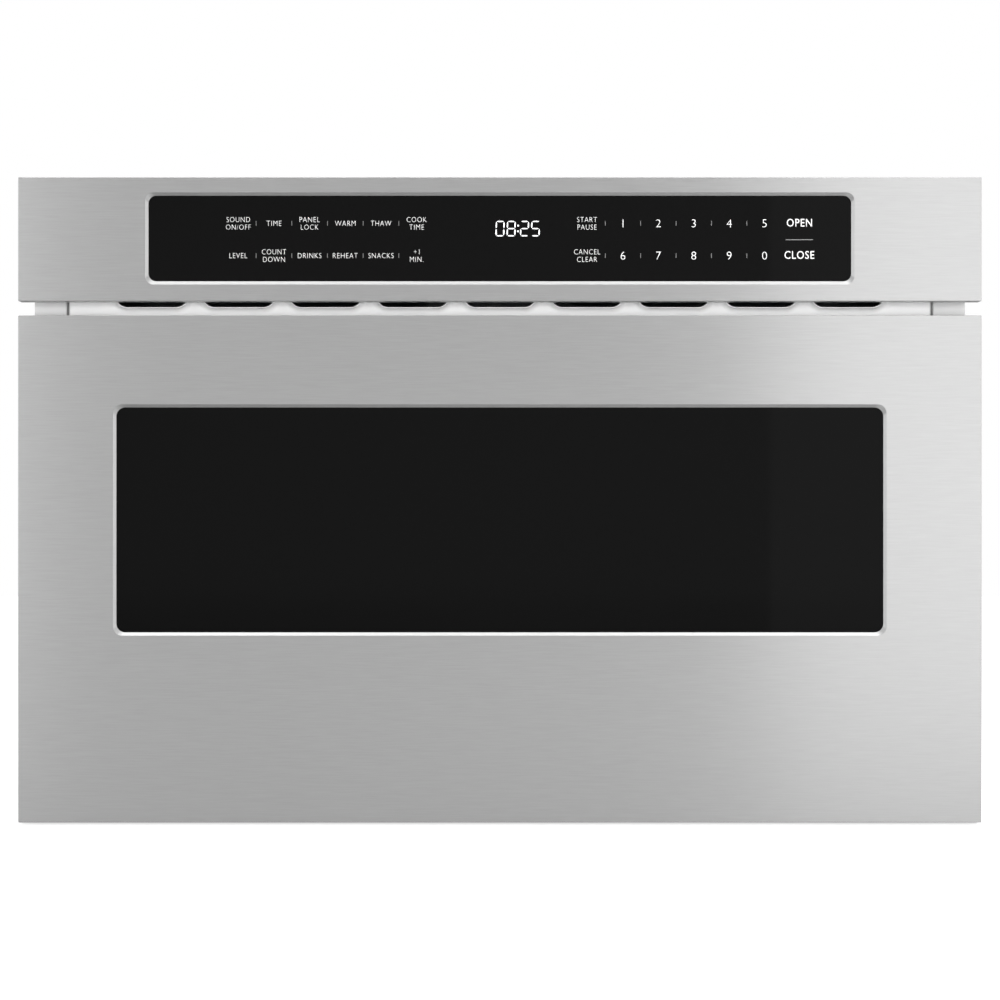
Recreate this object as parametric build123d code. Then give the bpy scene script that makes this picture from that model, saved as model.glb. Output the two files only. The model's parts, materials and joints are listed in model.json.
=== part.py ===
from build123d import *
import os
from math import acos, cos, pi, radians, sin, sqrt, tan

# A built-in microwave drawer. Millimetres, +Z up, the front faces -Y.
# The origin is the middle of the overall outline, on the plane that the skids rest on.

# ------------------------------------------------------------------ overall sizes
front_width = 606.0
overall_depth = 575.0
drawer_height = 319.0
fascia_height = 78.0
vent_gap = 9.0
floor_clearance = 1.6       # drawer front above the resting plane
front_projection = 30.0     # front skins ahead of the mounting face
gland_projection = 7.0      # inlet gland behind the rear panel
drawer_travel = 380.0

# ------------------------------------------------------------------ sheet and clearances
skin_t = 1.2                # stainless front skins
frame_t = 1.5               # front frame, flanges and brackets
case_t = 1.0
pan_t = 1.5
cavity_t = 1.2
nest_gap = 0.2              # folded parts nested in each other
shaft_gap = 0.06            # running fit of a shaft
edge_r = 1.2                # rolled edges of the front skins
cut_past = 1.0              # how far a cutting tool runs past a face

# ------------------------------------------------------------------ casing
front_overhang = 28.5       # front beyond the case on each side
case_above_cavity = 100.0   # case's top above the cavity's ceiling
skid_height = 6.0
skid_width = 36.0
skid_side_inset = 89.5      # middle of a skid inside the case's side
skid_inset = 24.0
skid_corner = 8.0
skid_draft = 15.0           # degrees
pan_flange = 24.0
case_bend = 4.0             # outer radius of the case's two top bends
case_lip = 12.0             # folded lip that the rear panel screws to
side_slot_width = 5.0
side_slot_height = 46.0
side_slot_pitch = 18.0
side_slot_count = 4
side_slot_drop = 64.0       # middle of the side slots below the case's top
side_slot_inset = 57.5      # rearmost side slot ahead of the case's rear
rear_slot_width = 36.0
rear_slot_height = 4.5
rear_slot_pitch = 10.0
rear_slot_bridge = 6.0      # sheet left between two slots of a row
inlet_rows = 6
exhaust_rows = 3
exhaust_aside = 17.0        # exhaust slots' middle to the side of the transformer's
exhaust_z = 135.0
frame_above_case = 16.0
frame_return = 14.0
flange_wing = 20.5          # mounting flange beyond the case side
flange_leg = 45.0
flange_bend = 1.4
flange_bottom = 12.0
flange_below_frame = 4.0
flange_leg_inset = 12.0     # the leg is shorter than the wing, below and above
flange_hole_r = 2.6
flange_hole_inset = 9.5
flange_hole_low = 45.0
flange_hole_drop = 30.6     # upper screw below the drawer's top edge
screw_head_r = 4.0
screw_head_t = 2.0
screw_corner_gap = 60.0     # outermost side screws from the case's corners
strip_screw_inset = 12.0
strip_screw_drop = 6.0

# ------------------------------------------------------------------ cavity
machine_side = 54.5         # from the cavity's side to the case's side
ceiling_drop = 36.6         # cavity's ceiling below the drawer's top edge
cavity_floor = 98.0
cavity_r = 8.0
lamp_from_rear = 92.5       # middle of the lamp ahead of the cavity's rear wall
lamp_below_ceiling = 49.0
lamp_slot_length = 22.0
lamp_slot_height = 3.0
lamp_slot_pitch = 7.0
steam_slot_width = 4.0
steam_slot_height = 40.0
steam_slot_pitch = 14.0
steam_slot_inset = 94.0     # middle steam slot inside the cavity's side

# ------------------------------------------------------------------ vent strip
vent_end_margin = 26.05     # strip left at each end of the row of slots
vent_pitch = 55.1
vent_slot_width = 43.0
vent_slot_r = 6.5           # half the height of a slot, and the reach of its ends
vent_flare_r = 3.8          # radius of the drawn rim round a slot
vent_flare_steps = 3        # flats that follow the rim's quarter turn
vent_end_sides = 6          # flats round each end of a slot
vent_above_drawer = 7.55    # inner edge of a rim above the drawer's top edge
vent_frame_margin = 18.0    # solid frame at each end of the row of slots
strip_t = 1.0
strip_side_gap = 0.5
strip_height = 34.0
strip_below_gap = 4.6

# ------------------------------------------------------------------ control panel
fascia_depth = 24.0
bevel = 2.0                 # width and depth of the bevel round a glass
control_width = 441.8
control_height = 53.2
control_middle = 39.8       # middle of the control glass above the fascia's lower edge
control_r = 4.6
control_glass_t = 3.2
control_overlap = 4.4       # glass hidden behind the skin, all round
glass_corner = 3.0          # cut corners of both glasses
carrier_depth = 17.8
carrier_wall = 2.0
carrier_post = 9.0
carrier_post_x = (-190.0, -64.0, 64.0, 190.0)
carrier_post_above = 14.0
carrier_rib_x = (-127.0, 0.0, 127.0)
board_t = 1.6
board_behind_glass = 8.3    # rear face of the touch board behind the control glass
board_gap = 0.3
touch_pad = 12.0
touch_pad_t = 6.5
touch_columns = 6
touch_pitch = 22.4
touch_first_x = -164.0
touch_row = 10.0            # each row of pads above or below the middle
display_width = 60.0
display_height = 18.0
display_x = 11.0
display_above = 6.0
chassis_setback = 8.0       # front edge of the control chassis behind the fascia
chassis_above_strip = 1.0
wire_slot_width = 60.0
wire_slot_height = 14.0
wire_slot_x = 120.0
wire_slot_above = 36.4

# ------------------------------------------------------------------ drawer front
drawer_skin_depth = 28.0
window_width = 482.0
window_height = 140.6
window_rise = 1.4           # middle of the window above the cavity's middle
window_r = 5.6
window_glass_t = 4.0
window_overlap = 8.0
liner_depth = 20.0
liner_t = 1.2
glass_frame_t = 8.0
glass_frame_side = 40.0
glass_frame_rail = 10.3
choke_beyond_tub = 38.0
choke_beyond_mouth = 27.0   # above and below the cavity's mouth
choke_t = 1.0
choke_channel = 31.0        # width of the choke groove between its two walls
choke_flange = 5.0
choke_raise = 0.5           # raised middle of the choke frame behind its flange
screen_inset = 7.0          # pierced sheet inside the tub's sides
screen_height = 140.0
screen_t = 0.6
screen_border = 7.0         # solid edge of the pierced sheet, all round
inner_glass_t = 2.5
inner_glass_gap = 2.0
bumper_width = 16.0
bumper_height = 10.0
bumper_gap = 0.2            # to the front frame with the drawer shut
bumper_side = 41.0
bumper_low = 94.4
bumper_high = 24.6

# ------------------------------------------------------------------ drawer tub
tub_side_gap = 8.0          # tub to the cavity's sides
tub_headroom = 33.4         # tub's rim below the cavity's ceiling
tub_t = 1.6
tub_r = 12.0
tub_bottom_bevel = 4.0
tub_lip = 4.0
tub_floor_gap = 2.6         # under the tub, above the cavity floor
tub_rear_gap = 16.2
sight_head = 11.0           # wall above the sight opening, before the inner window
sight_sill = 21.0           # wall below it
ceramic_t = 4.0
ceramic_inset = 6.5

# ------------------------------------------------------------------ slides
rail_middle_z = 42.5
outer_rail_height = 45.0
middle_rail_height = 38.0
inner_rail_height = 30.0
rail_t = 1.2
rail_overlap = 20.0         # left in the slides at full travel
outer_rail_extra = 16.0
rail_setback = 2.0          # sliding rails behind the front frame
outer_rail_setback = 0.3
rail_web_inset = 24.5       # outboard face of the outer rail inside the case's side
rail_depth = 12.0
rail_lip = 2.0
rail_side_gap = 1.2
middle_rail_inset = 0.6
inner_rail_gap = 1.4
shoe_gap = 0.3
shoe_side_gap = 0.4
shoe_length = 160.0
arm_t = 1.5
arm_height = 49.0
arm_tab = 30.0
arm_nose = 14.0             # sloped rear end of a side arm
arm_nose_length = 40.0
arm_window_length = 40.0
arm_window_height = 12.0
arm_window_pitch = 90.0
arm_window_start = 60.0
arm_window_rise = 12.0
arm_window_count = 4
arm_clearance = 2.0         # front frame round the arms and rails
bracket_setback = 6.0

# ------------------------------------------------------------------ rack drive
gear_module = 2.0
pinion_teeth = 18
pressure_angle = 20.0
dedendum = 1.25             # of the module
backlash = 0.24
gear_face = 10.0
pinion_side_gap = 0.3
rack_extra = 42.0           # rack beyond the travel
rack_back = 7.0             # solid bar above the tooth roots
rack_setback = 0.5
pitch_line_z = 50.0
pinion_setback = 24.0       # pinion's axis behind the front frame
pinion_shaft_r = 4.0
pinion_shaft_length = 34.0
motor_plate_t = 2.0
motor_plate_gap = 2.0       # between the rack and the motor's plate
motor_plate_front = 20.0
motor_plate_rear = 50.0
motor_plate_top = 66.0
motor_plate_corner = 12.0
gearbox_thickness = 32.0
gearbox_height = 36.0
gearbox_nose = 18.0         # gearbox ahead of the pinion's axis
gearbox_tail = 46.0
gearbox_corner = 8.0
gearbox_end_wall = 1.0
drive_motor_r = 16.0
drive_motor_length = 52.0
drive_motor_offset = 26.0
drive_motor_cap = 12.0
drive_motor_cap_t = 4.0

# ------------------------------------------------------------------ microwave source
wave_width = 96.0
wave_height = 40.0
wave_t = 1.0
wave_ahead_of_stirrer = 55.0
wave_aperture_front = 10.0
wave_aperture_rear = 50.0
dome_half = 80.0            # half of the stirrer dome across its flats
dome_height = 26.0
dome_flange = 10.0
dome_throat = 3.0           # dome wall outside the hole in the cavity's ceiling
stirrer_cover_t = 1.8
stirrer_cover_rim = 9.0
stirrer_blade_r = 66.0
stirrer_vane_width = 26.0
stirrer_vane_t = 1.2
stirrer_vane_tilt = 12.0    # degrees
stirrer_hub_r = 9.0
stirrer_hub_height = 10.0
stirrer_above_ceiling = 6.0
stirrer_shaft_r = 3.0
stirrer_shaft_end = 6.0     # shaft inside its motor
stirrer_motor_r = 24.0
stirrer_motor_height = 18.0
stirrer_motor_ears = 66.0
motor_ear_width = 12.0
motor_ear_t = 1.5
bore_spare = 2.0            # bore deeper than the shaft in it
magnetron_from_rear = 47.5
magnetron_width = 90.0
magnetron_length = 76.0
magnetron_height = 66.0
yoke_t = 2.0
anode_r = 19.0
antenna_r = 10.0
antenna_height = 18.0
antenna_hole = 28.0
fin_count = 6
fin_t = 0.8
fin_margin = 8.0
fin_inset = 5.0
filter_box_width = 64.0
filter_box_length = 52.0
filter_box_height = 28.0

# ------------------------------------------------------------------ high voltage parts
core_inset = 162.5          # core's middle inside the case's side
core_from_rear = 63.5
core_width = 100.0
core_stack = 60.0
core_height = 84.0
core_leg = 32.0
core_foot = 12.0            # foot plate beyond the core on each side
core_foot_t = 2.0
core_notch = 5.0
coil_margin = 0.4
coil_corner = 6.0
coil_spacer = 4.0
can_width = 54.0
can_height = 34.0
can_inset = 124.5           # can's right end inside the case's side
can_length = 90.0
can_corner = 10.0
can_from_rear = 74.5
can_terminal_width = 6.3
can_terminal_t = 1.0
can_terminal_length = 10.0
can_terminal_y = 9.0
clamp_t = 1.5
clamp_width = 12.0
clamp_from_end = 38.0
clamp_foot = 12.0
clamp_corner = 10.0

# ------------------------------------------------------------------ blower
blower_inset = 124.5        # blower's axis inside the case's side
blower_below_guide = 79.2   # blower's axis below the waveguide
blower_width = 60.0
blower_behind_cavity = 25.8 # its motor behind the cavity's rear wall
wheel_r = 52.0
wheel_width = 42.0
wheel_setback = 8.0         # wheel behind the housing's front face
wheel_sheet = 1.2
wheel_ring = 9.0
wheel_vanes = 11
wheel_hub_r = 9.0
wheel_hub_length = 16.0
vane_length = 8.0
vane_t = 0.8
vane_turn = 35.0            # degrees
volute_start = 8.0          # air gap round the wheel where the volute starts
volute_growth = 3.5         # each quarter arc is larger than the one before by this
volute_wall = 1.6
outlet_floor = 20.0         # outlet's floor above the wheel's axis
outlet_gap = 1.0            # to the magnetron
inlet_rim = 8.0
blower_shaft_r = 3.0
blower_shaft_end = 12.0     # shaft inside its motor
blower_motor_r = 30.0
blower_motor_length = 40.0
blower_flange_width = 84.0
blower_flange_height = 22.0
blower_flange_t = 2.0
shaft_window = 12.0         # square hole in the housing round the shaft

# ------------------------------------------------------------------ lamp, boards and inlet
lamp_holder_depth = 46.0
lamp_holder_length = 48.0
lamp_holder_height = 44.0
lamp_holder_t = 1.2
bulb_r = 9.0
bulb_length = 24.0
bulb_cap_r = 7.0
bulb_cap_length = 16.0
relay_board_width = 120.0
relay_board_length = 170.0
relay_board_above = 14.0
relay_board_inset = 56.5    # inside the case's side
relay_board_front = 52.5    # front edge behind the mounting face
board_post = 7.0
board_post_inset = 7.0
relay_size = 24.0
relay_height = 18.0
relay_pitch = 32.0
relay_count = 4
board_choke_height = 30.0
board_choke_size = 36.0
heat_sink_width = 26.0
heat_sink_length = 110.0
heat_sink_height = 9.0
board_can_r = 8.0
board_can_height = 22.0
board_part_gap = 8.0        # between the parts on the board, and to its edge
filter_board_width = 66.0
filter_board_height = 56.0
filter_board_gap = 8.0
filter_below_gland = 60.0
filter_post = 6.0
filter_part_inset = 5.0
filter_choke_size = 26.0
filter_choke_hole = 12.0
filter_choke_t = 11.0
filter_block_width = 14.0
filter_block_height = 34.0
filter_block_t = 16.0
gland_inset = 59.5          # gland's axis inside the case's side
gland_drop = 54.0           # gland's axis below the case's top
gland_bore_r = 4.5
gland_r = 11.0
gland_flange = 28.0
gland_inside = 4.0          # flange thickness inside the rear panel
gland_collar_r = 15.0

# ------------------------------------------------------------------ interlock
key_outside_choke = 11.0
key_plate_width = 16.0
key_plate_margin = 15.0
key_low_z = 140.0
key_high_z = 220.0
key_hook_length = 30.0
key_hook_height = 12.0
key_hook_t = 5.0
key_hook_taper = 2.0
key_hook_barb = 7.0
key_slot_width = 9.0
key_slot_height = 17.0
switch_t = 10.5
switch_length = 28.0
switch_height = 10.0
switch_setback = 8.0
switch_offset = 12.0        # a switch above its hook
switch_plate_depth = 40.0
switch_plate_t = 2.0
switch_plate_margin = 22.0
switch_foot = 14.0
switch_plate_gap = 4.0      # between the key's middle and the switch plate

# ------------------------------------------------------------------ derived places
case_width = front_width - 2 * front_overhang
cavity_width = case_width - 2 * machine_side
tub_width = cavity_width - 2 * tub_side_gap
choke_width = tub_width + 2 * choke_beyond_tub
screen_width = tub_width - 2 * screen_inset
strip_width = case_width - 2 * strip_side_gap
vent_count = round((strip_width - 2 * vent_end_margin) / vent_pitch)
front_y = -overall_depth / 2
face_y = front_y + front_projection
frame_back = face_y + frame_t
rear_y = overall_depth / 2
panel_back = rear_y - gland_projection
case_rear = panel_back - case_t
case_half = case_width / 2
skid_x = case_half - skid_side_inset
rail_web_x = case_half - rail_web_inset
blower_x = case_half - blower_inset
gland_x = gland_inset - case_half
core_x = core_inset - case_half
can_right = case_half - can_inset
exhaust_x = core_x - exhaust_aside
steam_slot_x = steam_slot_inset - cavity_width / 2
case_bottom = skid_height
drawer_bottom = floor_clearance
drawer_top = drawer_bottom + drawer_height
cavity_ceiling = drawer_top - ceiling_drop
cavity_height = cavity_ceiling - cavity_floor
case_top = cavity_ceiling + case_above_cavity
flange_hole_high = drawer_top - flange_hole_drop
gland_z = case_top - gland_drop
choke_height = cavity_height + 2 * choke_beyond_mouth
frame_top = case_top + frame_above_case
pan_floor = skid_height + pan_t
pan_half = case_half - case_t
frame_half = pan_half - nest_gap
fascia_bottom = drawer_top + vent_gap
fascia_top = fascia_bottom + fascia_height
strip_front = face_y - strip_t
strip_bottom = drawer_top - strip_below_gap
strip_top = strip_bottom + strip_height
vent_middle_z = drawer_top + vent_above_drawer + vent_slot_r
vent_root = vent_slot_r + strip_t + vent_flare_r
blower_front = case_rear - blower_width
cavity_middle_z = cavity_floor + cavity_height / 2
cavity_rear = blower_front - blower_motor_length - blower_behind_cavity - cavity_t
lamp_y = cavity_rear - lamp_from_rear
lamp_z = cavity_ceiling - lamp_below_ceiling
stirrer_y = (face_y + cavity_rear) / 2
dome_base = cavity_ceiling + cavity_t
wave_bottom = dome_base + dome_height
wave_top = wave_bottom + wave_height
blower_z = wave_bottom - blower_below_guide
magnetron_y = case_rear - magnetron_from_rear
core_y = case_rear - core_from_rear
can_y = case_rear - can_from_rear
glass_y = front_y + bevel
control_z = fascia_bottom + control_middle
control_glass_width = control_width + 2 * control_overlap
control_glass_height = control_height + 2 * control_overlap
carrier_front = glass_y + control_glass_t
carrier_back = carrier_front + carrier_depth
touch_board_y = carrier_front + board_behind_glass
chassis_front = front_y + chassis_setback
wire_slot_z = fascia_bottom + wire_slot_above
window_z = cavity_middle_z + window_rise
drawer_back = front_y + drawer_skin_depth
choke_front = glass_y + window_glass_t + glass_frame_t
choke_back = drawer_back - liner_t
choke_inner_width = choke_width - 2 * choke_channel
choke_inner_height = choke_height - 2 * choke_channel
raised_back = choke_back + choke_raise
tub_front = raised_back + inner_glass_t
tub_rear = cavity_rear - tub_rear_gap
tub_low = cavity_floor + tub_floor_gap
tub_high = cavity_ceiling - tub_headroom
tub_middle_y = (tub_front + tub_rear) / 2
rail_length = drawer_travel + rail_overlap
rail_front = frame_back + rail_setback
rail_rear = rail_front + rail_length
outer_rail_front = frame_back + outer_rail_setback
outer_rail_rear = outer_rail_front + rail_length + outer_rail_extra
outer_open_x = rail_web_x - rail_depth
middle_web_x = rail_web_x - rail_t - rail_side_gap
middle_open_x = outer_open_x + middle_rail_inset
inner_web_x = middle_open_x - inner_rail_gap
inner_open_x = middle_web_x - rail_t - rail_side_gap - shoe_side_gap
arm_inner_x = inner_web_x - arm_t
rack_outer_x = arm_inner_x
rack_inner_x = rack_outer_x - gear_face
pinion_r = gear_module * pinion_teeth / 2
pinion_y = frame_back + pinion_setback
pinion_z = pitch_line_z - pinion_r
motor_plate_x = rack_inner_x - motor_plate_gap
gearbox_x = motor_plate_x - motor_plate_t
key_x = -(choke_width / 2 + key_outside_choke)


# ------------------------------------------------------------------ helpers
def span_box(x, y, z):
    """Box between a pair of limits along each axis."""
    limits = (x, y, z)
    size = [high - low for low, high in limits]
    middle = [(low + high) / 2 for low, high in limits]
    return Pos(*middle) * Box(*size)


def around(middle, size):
    """Pair of limits on both sides of a middle."""
    return middle - size / 2, middle + size / 2


def front_view(y, z=0.0, x=0.0):
    """Upright plane seen from the front: its x is X and its y is Z."""
    return Plane(origin=(x, y, z), x_dir=(1, 0, 0), z_dir=(0, -1, 0))


def back_view(y, z=0.0, x=0.0):
    """Upright plane seen from behind, so that an extrusion runs towards +Y."""
    return Plane(origin=(x, y, z), x_dir=(-1, 0, 0), z_dir=(0, 1, 0))


def side_view(x, y=0.0, z=0.0):
    """Upright plane seen from the right: its x is Y and its y is Z."""
    return Plane(origin=(x, y, z), x_dir=(0, 1, 0), z_dir=(1, 0, 0))


def upright(sketch, y_front, y_back, z=0.0, x=0.0):
    """A front-view sketch filled between two depths."""
    return extrude(front_view(y_back, z, x) * sketch, amount=y_back - y_front)


def crosswise(sketch, x_left, x_right, y=0.0, z=0.0):
    """A side-view sketch filled between two places across the width."""
    return extrude(side_view(x_left, y, z) * sketch, amount=x_right - x_left)


def level(sketch, z_low, z_high, x=0.0, y=0.0):
    """A plan-view sketch filled between two heights."""
    return extrude(Plane(origin=(x, y, z_low)) * sketch, amount=z_high - z_low)


def outline(*points):
    """Closed face through points."""
    return make_face(Polyline(*points, close=True))


def cut_corners(width, height, corner):
    """Rectangle with its four corners cut at 45 degrees."""
    return chamfer(Rectangle(width, height).vertices(), corner)


def octagon(half):
    """Regular octagon of the given half width across its flats."""
    return RegularPolygon(half, 8, major_radius=False, rotation=22.5)


def hexagon(radius):
    """Regular hexagon inside a circle."""
    return RegularPolygon(radius, 6)


def mirrored(part):
    """The same piece for the left side."""
    return mirror(part, about=Plane.YZ)


def save(name, part):
    export_step(part, os.path.join("parts", name + ".step"))


# ------------------------------------------------------------------ casing
def rear_screw_places():
    """Screws through the rear panel into the case's folded lips, as x and z."""
    side_x = case_half - case_lip / 2
    low_z = case_bottom + screw_corner_gap
    high_z = case_top - screw_corner_gap
    top_z = case_top - case_lip / 2
    sides = [(x, z) for x in (-side_x, side_x) for z in (low_z, (low_z + high_z) / 2, high_z)]
    return sides + [(-side_x / 2, top_z), (side_x / 2, top_z)]


def strip_screw_places():
    """Screws through the ends of the vent strip into the front frame."""
    x = strip_width / 2 - strip_screw_inset
    z = strip_top - strip_screw_drop
    return [(-x, z), (x, z)]


def make_base_pan():
    """Pressed tray with two skids formed down out of its floor."""
    rear = case_rear - case_t
    rim = case_bottom + pan_flange
    tray = span_box((-pan_half, pan_half), (frame_back, rear), (case_bottom, rim))
    inside_x = (pan_t - pan_half, pan_half - pan_t)
    tray -= span_box(inside_x, (frame_back - cut_past, rear - pan_t), (pan_floor, rim + cut_past))
    skid_length = rear - frame_back - 2 * skid_inset
    skid_y = (frame_back + rear) / 2
    outer = cut_corners(skid_width, skid_length, skid_corner)
    inner = cut_corners(skid_width - 2 * pan_t, skid_length - 2 * pan_t, skid_corner - pan_t)
    for x in (-skid_x, skid_x):
        below = Plane(origin=(x, skid_y, case_bottom), x_dir=(1, 0, 0), z_dir=(0, 0, -1))
        inside = Plane(origin=(x, skid_y, pan_floor), x_dir=(1, 0, 0), z_dir=(0, 0, -1))
        tray += extrude(below * outer, amount=skid_height, taper=skid_draft)
        tray -= extrude(inside * inner, amount=skid_height, taper=skid_draft)
    return tray


def make_outer_case():
    """Wrap of thin sheet: two sides and a top, folded in at the rear."""
    wrap = span_box((-case_half, case_half), (frame_back, case_rear), (case_bottom, case_top))
    wrap = fillet(wrap.edges().filter_by(Axis.Y).group_by(Axis.Z)[-1], case_bend)
    inner_y = (frame_back - cut_past, case_rear - case_t)
    inner = span_box((-pan_half, pan_half), inner_y, (case_bottom - cut_past, case_top - case_t))
    inner = fillet(inner.edges().filter_by(Axis.Y).group_by(Axis.Z)[-1], case_bend - case_t)
    mouth_half = case_half - case_lip
    mouth_z = (case_bottom - cut_past, case_top - case_lip)
    wrap -= inner
    wrap -= span_box((-mouth_half, mouth_half), (frame_back, case_rear + cut_past), mouth_z)
    slot_z = around(case_top - side_slot_drop, side_slot_height)
    for step in range(side_slot_count):
        slot_y = around(case_rear - side_slot_inset - step * side_slot_pitch, side_slot_width)
        wrap -= span_box((-case_half - cut_past, case_half + cut_past), slot_y, slot_z)
    return wrap


def slot_field(rows, x, z):
    """Rows of two slots side by side through the rear panel, centred on x and z."""
    slots = []
    aside = (rear_slot_width + rear_slot_bridge) / 2
    through = (case_rear - cut_past, panel_back + cut_past)
    for row in range(rows):
        slot_z = around(z + (row - (rows - 1) / 2) * rear_slot_pitch, rear_slot_height)
        for slot_x in (x - aside, x + aside):
            slots.append(span_box(around(slot_x, rear_slot_width), through, slot_z))
    return Part() + slots


def make_rear_panel():
    """Flat rear cover with the blower's inlet slots, exhaust slots and the gland's hole."""
    panel = span_box((-case_half, case_half), (case_rear, panel_back), (case_bottom, case_top))
    panel -= upright(Circle(gland_r), case_rear - cut_past, panel_back + cut_past, gland_z, gland_x)
    panel -= slot_field(inlet_rows, blower_x, blower_z)
    return panel - slot_field(exhaust_rows, exhaust_x, exhaust_z)


def through_frame(x, z):
    """Rectangular cut through the front frame's plate."""
    return span_box(x, (face_y - cut_past, frame_back + cut_past), z)


def make_front_frame():
    """Plate round the cavity mouth, folded back along its top and sides."""
    plate = span_box((-frame_half, frame_half), (face_y, frame_back), (case_bottom, frame_top))
    return_low = case_bottom + pan_flange + pan_t
    return_high = case_top - case_t - nest_gap
    return_back = frame_back + frame_return
    rim = span_box((-frame_half, frame_half), (frame_back, return_back), (return_low, return_high))
    rim = fillet(rim.edges().filter_by(Axis.Y).group_by(Axis.Z)[-1], case_bend - case_t)
    rim_half = frame_half - frame_t
    rim_inside_y = (face_y, return_back + cut_past)
    rim -= span_box((-rim_half, rim_half), rim_inside_y, (return_low - cut_past, return_high - frame_t))
    plate += rim
    mouth = RectangleRounded(cavity_width, cavity_height, cavity_r)
    plate -= upright(mouth, face_y - cut_past, frame_back + cut_past, cavity_middle_z)
    vent_half = strip_width / 2 - vent_frame_margin
    plate -= through_frame((-vent_half, vent_half), around(vent_middle_z, 2 * vent_root))
    arm_x = (rack_inner_x - arm_clearance, middle_web_x + arm_clearance)
    arm_z = around(rail_middle_z, arm_height + 2 * arm_clearance)
    plate -= through_frame(arm_x, arm_z)
    plate -= through_frame((-arm_x[1], -arm_x[0]), arm_z)
    for z in (key_low_z, key_high_z):
        plate -= through_frame(around(key_x, key_slot_width), around(z, key_slot_height))
    wire_slot = around(wire_slot_x, wire_slot_width), around(wire_slot_z, wire_slot_height)
    return plate - through_frame(*wire_slot)


def make_mounting_flange():
    """Right-hand angle on the case side; its wing screws to the cabinet front."""
    inner_x = case_half
    outer_x = case_half + flange_wing
    leg_back = face_y + flange_leg
    flange_top = frame_top - flange_below_frame
    wing = span_box((inner_x, outer_x), (face_y, frame_back), (flange_bottom, flange_top))
    leg_z = (flange_bottom + flange_leg_inset, flange_top - flange_leg_inset)
    leg = span_box((inner_x, inner_x + frame_t), (face_y, leg_back), leg_z)
    angle = wing + leg
    bend = angle.edges().filter_by(Axis.Z).sort_by_distance((inner_x, face_y, flange_top / 2))[0]
    angle = fillet(bend, flange_bend)
    for z in (flange_hole_low, flange_hole_high):
        hole_x = outer_x - flange_hole_inset
        angle -= upright(Circle(flange_hole_r), face_y - cut_past, frame_back + cut_past, z, hole_x)
    return angle


# ------------------------------------------------------------------ vent strip
def slot_at(y, reach):
    """Cross-section of a vent slot at one depth: straight sides, ends of the given reach."""
    straight = vent_slot_width / 2 - vent_slot_r
    points = []
    for end_x, start in ((straight, -pi / 2), (-straight, pi / 2)):
        for side in range(vent_end_sides + 1):
            angle = start + pi * side / vent_end_sides
            points.append((end_x + reach * cos(angle), reach * sin(angle)))
    return front_view(y, vent_middle_z) * outline(*points)


def bell_mouth(lip_reach, turn_r, back_y):
    """Solid whose skin opens from a lip through a quarter turn, like a bell mouth."""
    sections = []
    for step in range(vent_flare_steps + 1):
        turn = pi / 2 * step / vent_flare_steps
        reach = lip_reach + turn_r * (1 - cos(turn))
        sections.append(slot_at(back_y - turn_r * (1 - sin(turn)), reach))
    return loft(sections, ruled=True)


def make_vent_strip():
    """Strip behind the vent gap, with a row of slots whose rims are drawn forward."""
    strip = span_box((-strip_width / 2, strip_width / 2), (strip_front, face_y), (strip_bottom, strip_top))
    drawn = bell_mouth(vent_slot_r + strip_t, vent_flare_r, strip_front)
    hollow = bell_mouth(vent_slot_r, vent_flare_r + strip_t, face_y)
    places = [Pos((place - (vent_count - 1) / 2) * vent_pitch, 0, 0) for place in range(vent_count)]
    strip += [place * drawn for place in places]
    return strip - [place * hollow for place in places]


# ------------------------------------------------------------------ cavity and waveguide
def make_oven_cavity():
    """Five-sided steel box behind the front frame."""
    outer_width = cavity_width + 2 * cavity_t
    outer = cut_corners(outer_width, cavity_height + 2 * cavity_t, cavity_r / 2)
    inner = RectangleRounded(cavity_width, cavity_height, cavity_r)
    box = upright(outer, frame_back, cavity_rear + cavity_t, cavity_middle_z)
    box -= upright(inner, frame_back - cut_past, cavity_rear, cavity_middle_z)
    ceiling_hole = octagon(dome_half - dome_throat)
    box -= level(ceiling_hole, cavity_ceiling - cut_past, dome_base + cut_past, 0, stirrer_y)
    wall_x = (cavity_width / 2 - cut_past, outer_width / 2 + cut_past)
    for row in (-1, 0, 1):
        slot_z = around(lamp_z + row * lamp_slot_pitch, lamp_slot_height)
        box -= span_box(wall_x, around(lamp_y, lamp_slot_length), slot_z)
    rear_y_limits = (cavity_rear - cut_past, cavity_rear + cavity_t + cut_past)
    for column in (-1, 0, 1):
        slot_x = around(steam_slot_x + column * steam_slot_pitch, steam_slot_width)
        box -= span_box(slot_x, rear_y_limits, around(lamp_z, steam_slot_height))
    return box


def make_waveguide():
    """Rectangular guide from the magnetron to the stirrer dome that it is welded to."""
    half = wave_width / 2
    front = stirrer_y - wave_ahead_of_stirrer
    rear = magnetron_y + magnetron_length / 2
    guide = span_box((-half, half), (front, rear), (wave_bottom, wave_top))
    dome = level(octagon(dome_half), dome_base, wave_bottom, 0, stirrer_y)
    dome += level(octagon(dome_half + dome_flange), dome_base, dome_base + wave_t, 0, stirrer_y)
    dome -= level(octagon(dome_half - wave_t), dome_base - cut_past, wave_bottom - wave_t, 0, stirrer_y)
    body = guide + dome
    inside_x = (wave_t - half, half - wave_t)
    inside_z = (wave_bottom + wave_t, wave_top - wave_t)
    body -= span_box(inside_x, (front + wave_t, rear - wave_t), inside_z)
    floor_z = (wave_bottom - wave_t - cut_past, wave_bottom + wave_t + cut_past)
    aperture_y = (stirrer_y + wave_aperture_front, stirrer_y + wave_aperture_rear)
    body -= span_box(inside_x, aperture_y, floor_z)
    body -= span_box(around(0, shaft_window), around(stirrer_y, shaft_window), floor_z)
    body -= span_box(around(0, antenna_hole), around(magnetron_y, antenna_hole), floor_z)
    bore = Circle(stirrer_shaft_r + shaft_gap)
    return body - level(bore, wave_top - wave_t - cut_past, wave_top + cut_past, 0, stirrer_y)


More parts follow.
